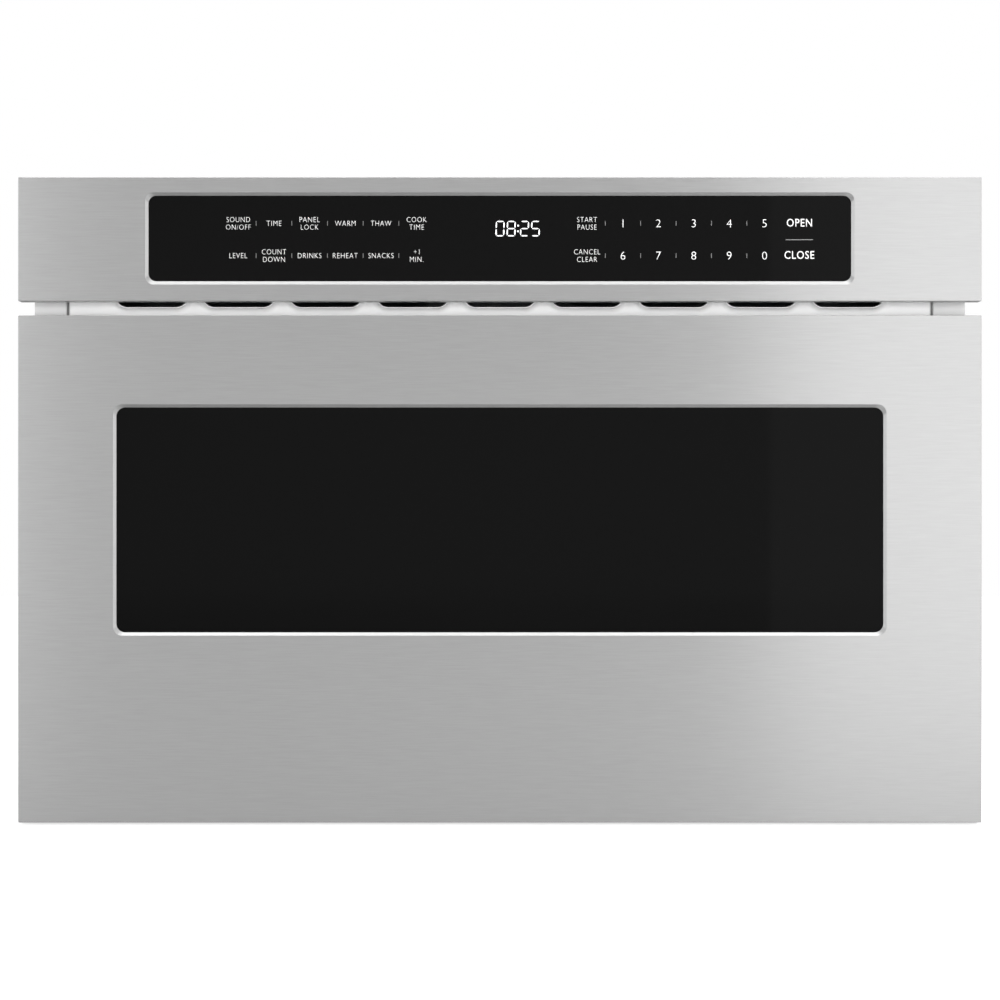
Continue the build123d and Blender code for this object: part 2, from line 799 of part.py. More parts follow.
def make_stirrer_cover():
    """Low-loss plate under the ceiling that keeps splashes off the stirrer."""
    plate = octagon(dome_half - dome_throat + stirrer_cover_rim)
    return level(plate, cavity_ceiling - stirrer_cover_t, cavity_ceiling, 0, stirrer_y)


def make_stirrer_blade():
    """Four flat vanes, each tilted, on a hub and a long shaft."""
    hub_low = cavity_ceiling + stirrer_above_ceiling
    hub_middle = hub_low + stirrer_hub_height / 2
    hub = level(hexagon(stirrer_hub_r), hub_low, hub_low + stirrer_hub_height, 0, stirrer_y)
    hub += level(Circle(stirrer_shaft_r), hub_middle, wave_top + stirrer_shaft_end, 0, stirrer_y)
    vane_x = (stirrer_hub_r / 2, stirrer_blade_r)
    vane = span_box(vane_x, around(0, stirrer_vane_width), around(0, stirrer_vane_t))
    tilted = Rot(stirrer_vane_tilt, 0, 0) * vane
    for turn in range(4):
        hub += Pos(0, stirrer_y, hub_middle) * Rot(0, 0, 90 * turn) * tilted
    return hub


def make_stirrer_motor():
    """Flat synchronous motor on top of the waveguide."""
    motor = level(Circle(stirrer_motor_r), wave_top, wave_top + stirrer_motor_height, 0, stirrer_y)
    ears = Rectangle(stirrer_motor_ears, motor_ear_width)
    motor += level(ears, wave_top, wave_top + motor_ear_t, 0, stirrer_y)
    bore = Circle(stirrer_shaft_r + shaft_gap)
    bore_top = wave_top + stirrer_shaft_end + bore_spare
    return motor - level(bore, wave_top - cut_past, bore_top, 0, stirrer_y)


def make_magnetron():
    """Cooling fins round the anode in an open yoke, antenna above and filter box below."""
    top = wave_bottom
    low = top - magnetron_height
    half_x = magnetron_width / 2
    half_y = magnetron_length / 2
    body = span_box((-half_x, half_x), (-half_y, half_y), (low, top))
    hollow_x = (-half_x - cut_past, half_x + cut_past)
    hollow_y = (yoke_t - half_y, half_y - yoke_t)
    body -= span_box(hollow_x, hollow_y, (low + yoke_t, top - yoke_t))
    body += level(octagon(anode_r), low + yoke_t, top - yoke_t)
    body += level(octagon(antenna_r), top, top + antenna_height)
    filter_z = (low - filter_box_height, low)
    body += span_box(around(0, filter_box_width), around(0, filter_box_length), filter_z)
    fin_pitch = (magnetron_height - 2 * fin_margin) / (fin_count - 1)
    for step in range(fin_count):
        z = low + fin_margin + step * fin_pitch
        body += span_box((fin_inset - half_x, half_x - fin_inset), hollow_y, around(z, fin_t))
    return Pos(0, magnetron_y, 0) * body


# ------------------------------------------------------------------ high voltage parts
def core_window():
    """Width and height of each of the two windows in the core."""
    return (core_width - 2 * core_leg) / 2, core_height - core_leg


def make_transformer_core():
    """Laminated shell core with two windows, welded to a foot plate."""
    window_width_x, window_height_z = core_window()
    low = pan_floor + core_foot_t
    core = span_box(around(0, core_width), around(0, core_stack), (low, low + core_height))
    window_z_limits = around(low + core_height / 2, window_height_z)
    for side in (-1, 1):
        middle = side * (core_leg + window_width_x) / 2
        core -= span_box(around(middle, window_width_x), (-core_stack, core_stack), window_z_limits)
    foot_width = core_width + 2 * core_foot
    foot = span_box(around(0, foot_width), around(0, core_stack), (pan_floor, low))
    for side in (-1, 1):
        notch_x = around(side * foot_width / 2, core_foot)
        foot -= span_box(notch_x, around(0, core_notch), (pan_floor - cut_past, low + cut_past))
    return Pos(core_x, core_y, 0) * (core + foot)


def make_transformer_windings():
    """Primary and secondary coils stacked round the middle leg."""
    window_width_x, window_height_z = core_window()
    low = pan_floor + core_foot_t + core_leg / 2 + coil_margin
    high = low + window_height_z - 2 * coil_margin
    middle = (low + high) / 2
    inner_x = core_leg + 2 * coil_margin
    inner_y = core_stack + 2 * coil_margin
    wall = window_width_x - 2 * coil_margin
    leg = Rectangle(inner_x, inner_y)
    coil = cut_corners(inner_x + 2 * wall, inner_y + 2 * wall, coil_corner) - leg
    spacer = Rectangle(inner_x + wall, inner_y + wall) - leg
    lower = level(coil, low, middle - coil_spacer / 2)
    waist = level(spacer, middle - coil_spacer / 2, middle + coil_spacer / 2)
    upper = level(coil, middle + coil_spacer / 2, high)
    return Pos(core_x, core_y, 0) * (lower + waist + upper)


def make_high_voltage_capacitor():
    """Flat can lying along the width, with its mounting strap and two terminals."""
    can_z = pan_floor + can_height / 2
    can_left = can_right - can_length
    can = crosswise(cut_corners(can_width, can_height, can_corner), can_left, can_right, can_y, can_z)
    strap_x = (can_right - clamp_from_end - clamp_width, can_right - clamp_from_end)
    strap_width = can_width + 2 * clamp_t
    strap_top = can_z + can_height / 2 + clamp_t
    strap = crosswise(cut_corners(strap_width, strap_top - pan_floor, clamp_corner), *strap_x, can_y,
                      (pan_floor + strap_top) / 2)
    foot_width = strap_width + 2 * clamp_foot
    foot = span_box(strap_x, around(can_y, foot_width), (pan_floor, pan_floor + clamp_t))
    for side in (-1, 1):
        tag_y = around(can_y + side * can_terminal_y, can_terminal_t)
        tag_x = (can_right, can_right + can_terminal_length)
        can += span_box(tag_x, tag_y, around(can_z, can_terminal_width))
    return can + strap + foot


# ------------------------------------------------------------------ blower
def volute_outline(inset, outlet_end):
    """Scroll round the wheel in three quarter arcs that grow towards an outlet on the left."""
    radii = [wheel_r + volute_start + step * volute_growth - inset for step in range(3)]
    left = (-radii[0], 0)
    bottom = (0, -radii[0])
    right = (radii[1], volute_growth)
    top = (-volute_growth, volute_growth + radii[2])
    floor = outlet_floor + inset
    return make_face([
        RadiusArc(left, bottom, -radii[0]),
        RadiusArc(bottom, right, -radii[1]),
        RadiusArc(right, top, -radii[2]),
        Polyline(top, (outlet_end, top[1]), (outlet_end, floor), (left[0], floor), left),
    ])


def make_blower_housing():
    """Scroll housing with a round rear inlet and a square outlet towards the magnetron."""
    outlet_end = magnetron_width / 2 + outlet_gap - blower_x
    scroll = volute_outline(0.0, outlet_end)
    hollow = volute_outline(volute_wall, outlet_end - cut_past)
    shell = upright(scroll, blower_front, case_rear, blower_z, blower_x)
    shell -= upright(hollow, blower_front + volute_wall, case_rear - volute_wall, blower_z, blower_x)
    inlet_y = (case_rear - volute_wall - cut_past, case_rear + cut_past)
    shell -= upright(Circle(wheel_r - inlet_rim), *inlet_y, blower_z, blower_x)
    shaft_y = (blower_front - cut_past, blower_front + volute_wall + cut_past)
    return shell - span_box(around(blower_x, shaft_window), shaft_y, around(blower_z, shaft_window))


def make_blower_wheel():
    """Squirrel-cage wheel: back disc, front ring, a ring of vanes, a hub and its shaft."""
    front = blower_front + wheel_setback
    rear = front + wheel_width
    wheel = upright(Circle(wheel_r), front, front + wheel_sheet)
    wheel += upright(Circle(wheel_r) - Circle(wheel_r - wheel_ring), rear - wheel_sheet, rear)
    wheel += upright(hexagon(wheel_hub_r), front, front + wheel_hub_length)
    wheel += upright(Circle(blower_shaft_r), blower_front - blower_shaft_end, front)
    vane_y = (front + wheel_sheet, rear - wheel_sheet)
    vane = span_box(around(0, vane_length), vane_y, around(0, vane_t))
    placed = Pos(wheel_r - wheel_ring / 2, 0, 0) * Rot(0, vane_turn, 0) * vane
    wheel += [Rot(0, 360 * step / wheel_vanes, 0) * placed for step in range(wheel_vanes)]
    return Pos(blower_x, 0, blower_z) * wheel


def make_blower_motor():
    """Round motor bolted to the front of the blower housing."""
    motor = upright(Circle(blower_motor_r), blower_front - blower_motor_length, blower_front,
                    blower_z, blower_x)
    flange = Rectangle(blower_flange_width, blower_flange_height)
    motor += upright(flange, blower_front - blower_flange_t, blower_front, blower_z, blower_x)
    bore_front = blower_front - blower_shaft_end - bore_spare
    bore = Circle(blower_shaft_r + shaft_gap)
    return motor - upright(bore, bore_front, blower_front + cut_past, blower_z, blower_x)


# ------------------------------------------------------------------ lamp, boards and inlet
def make_oven_lamp():
    """Tubular lamp in a folded holder, shining through the slots in the cavity wall."""
    wall_x = cavity_width / 2 + cavity_t
    outer_x = wall_x + lamp_holder_depth
    inside_x = outer_x - lamp_holder_t
    holder = span_box((wall_x, outer_x), around(0, lamp_holder_length), around(0, lamp_holder_height))
    inside_length = lamp_holder_length - 2 * lamp_holder_t
    inside_height = lamp_holder_height - 2 * lamp_holder_t
    holder -= span_box((wall_x - cut_past, inside_x), around(0, inside_length), around(0, inside_height))
    bulb_x = inside_x - bulb_cap_length
    holder += crosswise(hexagon(bulb_cap_r), bulb_x, inside_x)
    holder += crosswise(octagon(bulb_r), bulb_x - bulb_length, bulb_x)
    return Pos(0, lamp_y, lamp_z) * holder


def make_relay_board():
    """Power board on four posts above the cavity, with relays and a small transformer."""
    low = dome_base
    board_z = low + relay_board_above
    top = board_z + board_t
    half_x = relay_board_width / 2
    half_y = relay_board_length / 2
    board = span_box((-half_x, half_x), (-half_y, half_y), (board_z, top))
    for x in (board_post_inset - half_x, half_x - board_post_inset):
        for y in (board_post_inset - half_y, half_y - board_post_inset):
            board += span_box(around(x, board_post), around(y, board_post), (low, board_z))
    relay_x = (board_part_gap - half_x, board_part_gap - half_x + relay_size)
    for step in range(relay_count):
        relay_y = around((step - (relay_count - 1) / 2) * relay_pitch, relay_size)
        board += span_box(relay_x, relay_y, (top, top + relay_height))
    sink_x = (half_x - board_part_gap - heat_sink_width, half_x - board_part_gap)
    board += span_box(sink_x, around(0, heat_sink_length), (top, top + heat_sink_height))
    choke_x = (sink_x[0] - board_part_gap - board_choke_size, sink_x[0] - board_part_gap)
    choke_y = (half_y - board_part_gap - board_choke_size, half_y - board_part_gap)
    board += span_box(choke_x, choke_y, (top, top + board_choke_height))
    can_x = sink_x[0] - board_part_gap - board_can_r
    for row in range(2):
        y = -board_can_r - board_part_gap - row * (2 * board_can_r + board_part_gap)
        board += level(octagon(board_can_r), top, top + board_can_height, can_x, y)
    board_x = relay_board_inset + half_x - case_half
    return Pos(board_x, face_y + relay_board_front + half_y, 0) * board


def make_noise_filter():
    """Mains filter beside the inlet, on the rear panel: a ring choke and a block capacitor."""
    back = case_rear - filter_board_gap
    front = back - board_t
    half_x = filter_board_width / 2
    half_z = filter_board_height / 2
    board = span_box((-half_x, half_x), (front, back), (-half_z, half_z))
    for x in (filter_part_inset - half_x, half_x - filter_part_inset):
        for z in (filter_part_inset - half_z, half_z - filter_part_inset):
            board += span_box(around(x, filter_post), (back, case_rear), around(z, filter_post))
    choke = cut_corners(filter_choke_size, filter_choke_size, filter_choke_hole / 2)
    choke -= Rectangle(filter_choke_hole, filter_choke_hole)
    choke_x = filter_part_inset + filter_choke_size / 2 - half_x
    board += upright(choke, front - filter_choke_t, front, 0, choke_x)
    block_x = half_x - filter_part_inset - filter_block_width / 2
    block_z = around(0, filter_block_height)
    board += span_box(around(block_x, filter_block_width), (front - filter_block_t, front), block_z)
    return Pos(gland_x, 0, gland_z - filter_below_gland) * board


def make_power_inlet_gland():
    """Moulded bush in the rear panel, with a through bore for the mains lead."""
    gland = upright(Circle(gland_r - nest_gap), case_rear, panel_back)
    gland += upright(Rectangle(gland_flange, gland_flange), case_rear - gland_inside, case_rear)
    gland += upright(hexagon(gland_collar_r), panel_back, rear_y)
    gland -= upright(Circle(gland_bore_r), case_rear - gland_inside - cut_past, rear_y + cut_past)
    return Pos(gland_x, 0, gland_z) * gland


# ------------------------------------------------------------------ interlock
def make_interlock_key():
    """Plate behind the drawer with two hooks that reach in to the switches."""
    plate_y = (drawer_back, drawer_back + frame_t)
    plate_z = (key_low_z - key_plate_margin, key_high_z + key_plate_margin)
    key = span_box(around(key_x, key_plate_width), plate_y, plate_z)
    end = drawer_back + key_hook_length
    half = key_hook_height / 2
    tip = half - key_hook_taper
    for z in (key_low_z, key_high_z):
        hook = outline((drawer_back, z - half), (drawer_back, z + half), (end, z + tip), (end, z),
                       (end - key_hook_barb, z), (end - key_hook_barb, z - tip))
        key += crosswise(hook, *around(key_x, key_hook_t))
    return key


def make_interlock_switches():
    """Three snap switches in a moulded holder behind the front frame."""
    plate_x = key_x + switch_plate_gap
    plate_z = (key_low_z - switch_plate_margin, key_high_z + switch_plate_margin)
    plate_y = (frame_back, frame_back + switch_plate_depth)
    holder = span_box((plate_x, plate_x + switch_plate_t), plate_y, plate_z)
    foot_y = (frame_back, frame_back + switch_plate_t)
    holder += span_box((plate_x, plate_x + switch_foot), foot_y, plate_z)
    switch_y = (frame_back + switch_setback, frame_back + switch_setback + switch_length)
    middle = (key_low_z + key_high_z) / 2
    for z in (key_low_z + switch_offset, middle, key_high_z + switch_offset):
        holder += span_box((plate_x - switch_t, plate_x), switch_y, around(z, switch_height))
    return holder


# ------------------------------------------------------------------ control panel
def folded_skin(low, high, depth, window_w, window_h, window_mid, corner_r):
    """Stainless front folded back on all four sides, its window edge turned in at 45 degrees."""
    half = front_width / 2
    skin = span_box((-half, half), (front_y, front_y + depth), (low, high))
    front_face = skin.faces().sort_by(Axis.Y)[0]
    skin = fillet(front_face.edges(), edge_r)
    inside_x = (skin_t - half, half - skin_t)
    inside_y = (front_y + skin_t, front_y + depth + cut_past)
    skin -= span_box(inside_x, inside_y, (low + skin_t, high - skin_t))
    lip = skin_t * sqrt(2)
    at_front = back_view(front_y, window_mid)
    wide = window_w + 2 * bevel
    tall = window_h + 2 * bevel
    turned = RectangleRounded(wide + 2 * lip, tall + 2 * lip, corner_r + bevel + lip)
    opening = RectangleRounded(wide, tall, corner_r + bevel)
    skin += extrude(at_front * turned, amount=bevel, taper=45)
    return skin - extrude(at_front * opening, amount=bevel, taper=45)


def make_control_fascia():
    return folded_skin(fascia_bottom, fascia_top, fascia_depth, control_width, control_height,
                       control_z, control_r)


def glass_plate(width, height, thickness, middle_z):
    """Flat glass seated behind a turned-in window edge."""
    return upright(cut_corners(width, height, glass_corner), glass_y, glass_y + thickness, middle_z)


def make_control_glass():
    return glass_plate(control_glass_width, control_glass_height, control_glass_t, control_z)


def make_panel_carrier():
    """Moulded tray behind the control glass: a pocket for the touch board, screw posts behind."""
    web_back = touch_board_y + carrier_wall
    block = Rectangle(control_glass_width, control_glass_height)
    tray = upright(block, carrier_front, carrier_back, control_z)
    pocket = Rectangle(control_glass_width - 2 * carrier_wall, control_glass_height - 2 * carrier_wall)
    tray -= upright(pocket, carrier_front - cut_past, touch_board_y, control_z)
    tray -= upright(pocket, web_back, carrier_back + cut_past, control_z)
    post_z = around(control_z + carrier_post_above, carrier_post)
    for x in carrier_post_x:
        tray += span_box(around(x, carrier_post), (web_back, face_y - frame_t), post_z)
    rib_z = around(control_z, control_glass_height - 2 * carrier_wall)
    for x in carrier_rib_x:
        tray += span_box(around(x, carrier_wall), (web_back, carrier_back), rib_z)
    return tray


def make_touch_board():
    """Circuit board with the touch pads, seated in the carrier's pocket."""
    hidden = 2 * (carrier_wall + board_gap)
    front = touch_board_y - board_t
    sheet = Rectangle(control_glass_width - hidden, control_glass_height - hidden)
    board = upright(sheet, front, touch_board_y, control_z)
    for step in range(touch_columns):
        pad_x = around(touch_first_x + touch_pitch * step, touch_pad)
        for z in (control_z - touch_row, control_z + touch_row):
            board += span_box(pad_x, (front - touch_pad_t, front), around(z, touch_pad))
    return board


def make_display_module():
    """Lit clock display between the touch board and the glass."""
    display_y = (carrier_front + board_gap, touch_board_y - board_t)
    display_z = around(control_z + display_above, display_height)
    return span_box(around(display_x, display_width), display_y, display_z)


def make_control_chassis():
    """Folded steel carrier that holds the fascia off the front frame."""
    low = strip_top + chassis_above_strip
    high = fascia_top - skin_t
    half = front_width / 2 - skin_t
    chassis = span_box((-half, half), (chassis_front, face_y), (low, high))
    inside_x = (frame_t - half, half - frame_t)
    inside_y = (chassis_front - cut_past, face_y - frame_t)
    chassis -= span_box(inside_x, inside_y, (low - cut_past, high - frame_t))
    wire_slot = Rectangle(wire_slot_width, wire_slot_height)
    slot_front = face_y - frame_t - cut_past
    return chassis - upright(wire_slot, slot_front, face_y + cut_past, wire_slot_z, wire_slot_x)


# ------------------------------------------------------------------ drawer front
def make_drawer_front():
    return folded_skin(drawer_bottom, drawer_top, drawer_skin_depth, window_width, window_height,
                       window_z, window_r)


def glass_outline():
    """Width and height of the window glass and of the frame that presses it forward."""
    return window_width + 2 * window_overlap, window_height + 2 * window_overlap


def make_drawer_glass():
    width, height = glass_outline()
    return glass_plate(width, height, window_glass_t, window_z)


def make_glass_frame():
    """Moulded frame that presses the window glass against the skin."""
    width, height = glass_outline()
    frame = Rectangle(width, height)
    frame -= Rectangle(width - 2 * glass_frame_side, height - 2 * glass_frame_rail)
    return upright(frame, glass_y + window_glass_t, choke_front, window_z)


def make_choke_frame():
    """Pressed frame round the window: a deep groove between two walls stops leakage."""
    wall = 2 * choke_t
    rim = Rectangle(choke_width + 2 * choke_flange, choke_height + 2 * choke_flange)
    outer = Rectangle(choke_width, choke_height)
    groove = Rectangle(choke_width - wall, choke_height - wall)
    raised = Rectangle(choke_inner_width, choke_inner_height)
    pocket = Rectangle(choke_inner_width - wall, choke_inner_height - wall)
    sight = Rectangle(screen_width - 2 * screen_border, screen_height - 2 * screen_border)
    frame = upright(outer, choke_front, choke_back, window_z)
    frame -= upright(groove, choke_front + choke_t, choke_back + cut_past, window_z)
    frame += upright(rim - outer, choke_back - choke_t, choke_back, window_z)
    frame += upright(raised, choke_front, raised_back, window_z)
    frame -= upright(pocket, choke_front - cut_past, raised_back - choke_t, window_z)
    return frame - upright(sight, raised_back - choke_t - cut_past, raised_back + cut_past, window_z)


def make_choke_cover():
    """Plastic ring that closes the choke groove, flush with the liner."""
    fit = 2 * nest_gap
    ring = Rectangle(choke_width - fit, choke_height - fit)
    ring -= Rectangle(choke_inner_width + fit, choke_inner_height + fit)
    return upright(ring, choke_back, drawer_back, window_z)


def make_perforated_screen():
    """Thin pierced sheet behind the window, against the choke frame's raised middle."""
    back = raised_back - choke_t
    return upright(Rectangle(screen_width, screen_height), back - screen_t, back, window_z)


def make_inner_window():
    """Glass on the food side of the drawer front."""
    glass = Rectangle(choke_inner_width - 2 * inner_glass_gap, choke_inner_height - 2 * inner_glass_gap)
    return upright(glass, raised_back, tub_front, window_z)


def make_drawer_liner():
    """Steel pan that closes the back of the drawer front round the choke."""
    half = front_width / 2 - skin_t - nest_gap
    low = drawer_bottom + skin_t + nest_gap
    high = drawer_top - skin_t - nest_gap
    front = drawer_back - liner_depth
    liner = span_box((-half, half), (front, drawer_back), (low, high))
    inside_x = (liner_t - half, half - liner_t)
    liner -= span_box(inside_x, (front - cut_past, choke_back), (low + liner_t, high - liner_t))
    opening = Rectangle(choke_width, choke_height)
    return liner - upright(opening, choke_back - cut_past, drawer_back + cut_past, window_z)


def make_drawer_bumpers():
    """Four rubber pads that meet the front frame when the drawer is shut."""
    bumper_y = (drawer_back, face_y - bumper_gap)
    x = front_width / 2 - bumper_side
    pads = []
    for side in (-x, x):
        for z in (drawer_bottom + bumper_low, drawer_top - bumper_high):
            pads.append(span_box(around(side, bumper_width), bumper_y, around(z, bumper_height)))
    return Part() + pads


# ------------------------------------------------------------------ drawer tub
def make_drawer_tub():
    """Open-topped tub with a rolled rim; its front wall frames the inner window."""
    tub_length = tub_rear - tub_front
    body = level(RectangleRounded(tub_width, tub_length, tub_r), tub_low, tub_high, 0, tub_middle_y)
    body = chamfer(body.edges().group_by(Axis.Z)[0], tub_bottom_bevel)
    lip = RectangleRounded(tub_width + 2 * tub_lip, tub_length, tub_r)
    body += level(lip, tub_high - tub_t, tub_high, 0, tub_middle_y)
    inner = RectangleRounded(tub_width - 2 * tub_t, tub_length - 2 * tub_t, tub_r - tub_t)
    hollow = level(inner, tub_low + tub_t, tub_high + cut_past, 0, tub_middle_y)
    hollow = chamfer(hollow.edges().group_by(Axis.Z)[0], tub_bottom_bevel)
    body -= hollow
    sight_x = around(0, screen_width - 2 * screen_border)
    sight_z = (tub_low + sight_sill, tub_high - sight_head)
    return body - span_box(sight_x, (tub_front - cut_past, tub_front + tub_t + cut_past), sight_z)


def make_ceramic_floor():
    """Glass-ceramic plate on the floor of the tub."""
    inset = 2 * (tub_t + ceramic_inset)
    plate = cut_corners(tub_width - inset, tub_rear - tub_front - inset, tub_r)
    floor = tub_low + tub_t
    return level(plate, floor, floor + ceramic_t, 0, tub_middle_y)


# ------------------------------------------------------------------ slides
def channel(x_web, x_open, height, lip):
    """C section with its web at x_web, open towards x_open, with lips of the given length."""
    side = 1 if x_open > x_web else -1
    half = height / 2
    inner = half - rail_t
    web_in = x_web + side * rail_t
    lip_in = x_open - side * rail_t
    if lip > 0:
        tip = inner - lip
        upper = [(x_open, half), (x_open, tip), (lip_in, tip), (lip_in, inner), (web_in, inner)]
        lower = [(web_in, -inner), (lip_in, -inner), (lip_in, -tip), (x_open, -tip), (x_open, -half)]
    else:
        upper = [(x_open, half), (x_open, inner), (web_in, inner)]
        lower = [(web_in, -inner), (x_open, -inner), (x_open, -half)]
    return outline((x_web, half), *upper, *lower, (x_web, -half))


def make_outer_rail():
    section = channel(rail_web_x, outer_open_x, outer_rail_height, rail_lip)
    return upright(section, outer_rail_front, outer_rail_rear, rail_middle_z)


def make_middle_rail():
    section = channel(middle_web_x, middle_open_x, middle_rail_height, 0)
    return upright(section, rail_front, rail_rear, rail_middle_z)


def make_inner_rail():
    section = channel(inner_web_x, inner_open_x, inner_rail_height, 0)
    return upright(section, rail_front, rail_rear, rail_middle_z)


def make_glide_shoes():
    """Slippery strips on the middle rail: the rear pair runs in the outer rail, the front on the inner."""
    middle_half = middle_rail_height / 2
    outer_run = outer_rail_height / 2 - rail_t - shoe_gap
    inner_run = inner_rail_height / 2 + shoe_gap
    outer_x = (outer_open_x + rail_t + shoe_gap, middle_web_x - shoe_side_gap)
    inner_x = (middle_open_x + shoe_side_gap, inner_open_x)
    outer_y = (rail_rear - shoe_length, rail_rear)
    inner_y = (rail_front, rail_front + shoe_length)
    shoes = []
    for side in (-1, 1):
        outer_z = sorted(rail_middle_z + side * z for z in (middle_half, outer_run))
        inner_z = sorted(rail_middle_z + side * z for z in (inner_run, middle_half - rail_t))
        shoes.append(span_box(outer_x, outer_y, outer_z))
        shoes.append(span_box(inner_x, inner_y, inner_z))
    return Part() + shoes


def make_side_arm():
    """Pressed arm that carries the drawer front on the inner rail, with a tab screwed to the liner."""
    low, high = around(rail_middle_z, arm_height)
    nose_y = rail_rear - arm_nose_length
    side = outline((drawer_back, low), (drawer_back, high), (nose_y, high), (rail_rear, high - arm_nose),
                   (rail_rear, low + arm_nose), (nose_y, low))
    arm = crosswise(side, arm_inner_x, inner_web_x)
    tab_x = (inner_web_x - arm_tab, inner_web_x)
    arm += span_box(tab_x, (drawer_back, drawer_back + arm_t), (low, high))
    cut_x = (arm_inner_x - cut_past, inner_web_x + cut_past)
    for step in range(arm_window_count):
        window_y = around(frame_back + arm_window_start + arm_window_pitch * step, arm_window_length)
        arm -= span_box(cut_x, window_y, around(low + arm_window_rise, arm_window_height))
    return arm


def make_rail_bracket():
    """Angle bracket between the outer rail and the floor of the pan."""
    x_in = rail_web_x
    x_out = pan_half - pan_t - nest_gap
    high = rail_middle_z + outer_rail_height / 2
    foot = pan_floor + frame_t
    section = outline((x_in, pan_floor), (x_out, pan_floor), (x_out, foot), (x_in + frame_t, foot),
                      (x_in + frame_t, high), (x_in, high))
    return upright(section, outer_rail_front + bracket_setback, outer_rail_rear - bracket_setback)


# ------------------------------------------------------------------ rack drive
def make_drive_rack():
    """Rack of straight-sided teeth that point down, one gap over the pinion at rest."""
    pitch = pi * gear_module
    tip = pitch_line_z - gear_module
    root = pitch_line_z + dedendum * gear_module
    slope = tan(radians(pressure_angle))
    half_thick = pitch / 4 - backlash / 2
    tip_half = half_thick - gear_module * slope
    root_half = half_thick + dedendum * gear_module * slope
    front = drawer_back + arm_t + rack_setback
    rear = front + drawer_travel + rack_extra
    points = [(front, root)]
    centre = pinion_y + pitch / 2 - pitch * int((pinion_y - front) / pitch)
    while centre + root_half < rear:
        points += [(centre - root_half, root), (centre - tip_half, tip)]
        points += [(centre + tip_half, tip), (centre + root_half, root)]
        centre += pitch
    points += [(rear, root), (rear, root + rack_back), (front, root + rack_back)]
    return crosswise(outline(*points), rack_inner_x, rack_outer_x)


def involute_angle(radius, base):
    """Angle that an involute from a base circle has turned through where it reaches a radius."""
    if radius <= base:
        return 0.0
    return sqrt((radius / base) ** 2 - 1) - acos(base / radius)


def make_drive_pinion():
    """Involute pinion with its shaft; one tooth points straight up at rest."""
    tip = pinion_r + gear_module
    root = pinion_r - dedendum * gear_module
    base = pinion_r * cos(radians(pressure_angle))
    half_at_pitch = pi / (2 * pinion_teeth) - backlash / (2 * pinion_r)
    half_at_base = half_at_pitch + involute_angle(pinion_r, base)
    radii = (root, base, pinion_r, tip)
    half_angles = [half_at_base - involute_angle(radius, base) for radius in radii]
    flank = list(zip(radii, half_angles))
    points = []
    for tooth in range(pinion_teeth):
        middle = pi / 2 + 2 * pi * tooth / pinion_teeth
        sides = [(radius, middle - half) for radius, half in flank]
        sides += [(radius, middle + half) for radius, half in reversed(flank)]
        points += [(radius * cos(angle), radius * sin(angle)) for radius, angle in sides]
    gear_x = (rack_inner_x + pinion_side_gap, rack_outer_x - pinion_side_gap)
    gear = crosswise(outline(*points), *gear_x, pinion_y, pinion_z)
    shaft_x = (rack_inner_x - pinion_shaft_length, gear_x[0])
    return gear + crosswise(Circle(pinion_shaft_r), *shaft_x, pinion_y, pinion_z)


def make_motor_bracket():
    """Upright plate on the pan that carries the gearbox beside the rack."""
    inner_x = motor_plate_x - motor_plate_t
    front = pinion_y - motor_plate_front
    rear = pinion_y + motor_plate_rear
    cut_z = motor_plate_top - motor_plate_corner
    side = outline((front, pan_floor), (rear, pan_floor), (rear, motor_plate_top),
                   (front + motor_plate_corner, motor_plate_top), (front, cut_z))
    bracket = crosswise(side, inner_x, motor_plate_x)
    foot_z = (pan_floor, pan_floor + motor_plate_t)
    bracket += span_box((inner_x - gearbox_thickness, inner_x), (front, rear), foot_z)
    hole_x = (inner_x - cut_past, motor_plate_x + cut_past)
    return bracket - span_box(hole_x, around(pinion_y, shaft_window), around(pinion_z, shaft_window))


def make_gearbox():
    """Moulded gearbox between its plate and the motor, with the pinion's bearing."""
    gearbox_length = gearbox_nose + gearbox_tail
    middle_y = pinion_y + (gearbox_tail - gearbox_nose) / 2
    inner_x = gearbox_x - gearbox_thickness
    box = crosswise(cut_corners(gearbox_length, gearbox_height, gearbox_corner), inner_x, gearbox_x,
                    middle_y, pinion_z)
    bore = Circle(pinion_shaft_r + shaft_gap)
    return box - crosswise(bore, inner_x + gearbox_end_wall, gearbox_x + cut_past, pinion_y, pinion_z)


def make_drive_motor():
    """Direct-current motor on the gearbox: an eight-sided can with its end cap."""
    back_x = gearbox_x - gearbox_thickness
    front_x = back_x - drive_motor_length
    motor_y = pinion_y + drive_motor_offset
    motor = crosswise(octagon(drive_motor_r), front_x, back_x, motor_y, pinion_z)
    cap = Rectangle(drive_motor_cap, drive_motor_cap)
    return motor + crosswise(cap, front_x - drive_motor_cap_t, front_x, motor_y, pinion_z)


# ------------------------------------------------------------------ fasteners
def make_case_screws():
    """Heads of the screws of the rear panel and of the vent strip."""
    head = hexagon(screw_head_r)
    rear_y_limits = (panel_back, panel_back + screw_head_t)
    strip_y_limits = (strip_front - screw_head_t, strip_front)
    screws = [upright(head, *rear_y_limits, z, x) for x, z in rear_screw_places()]
    screws += [upright(head, *strip_y_limits, z, x) for x, z in strip_screw_places()]
    return Part() + screws


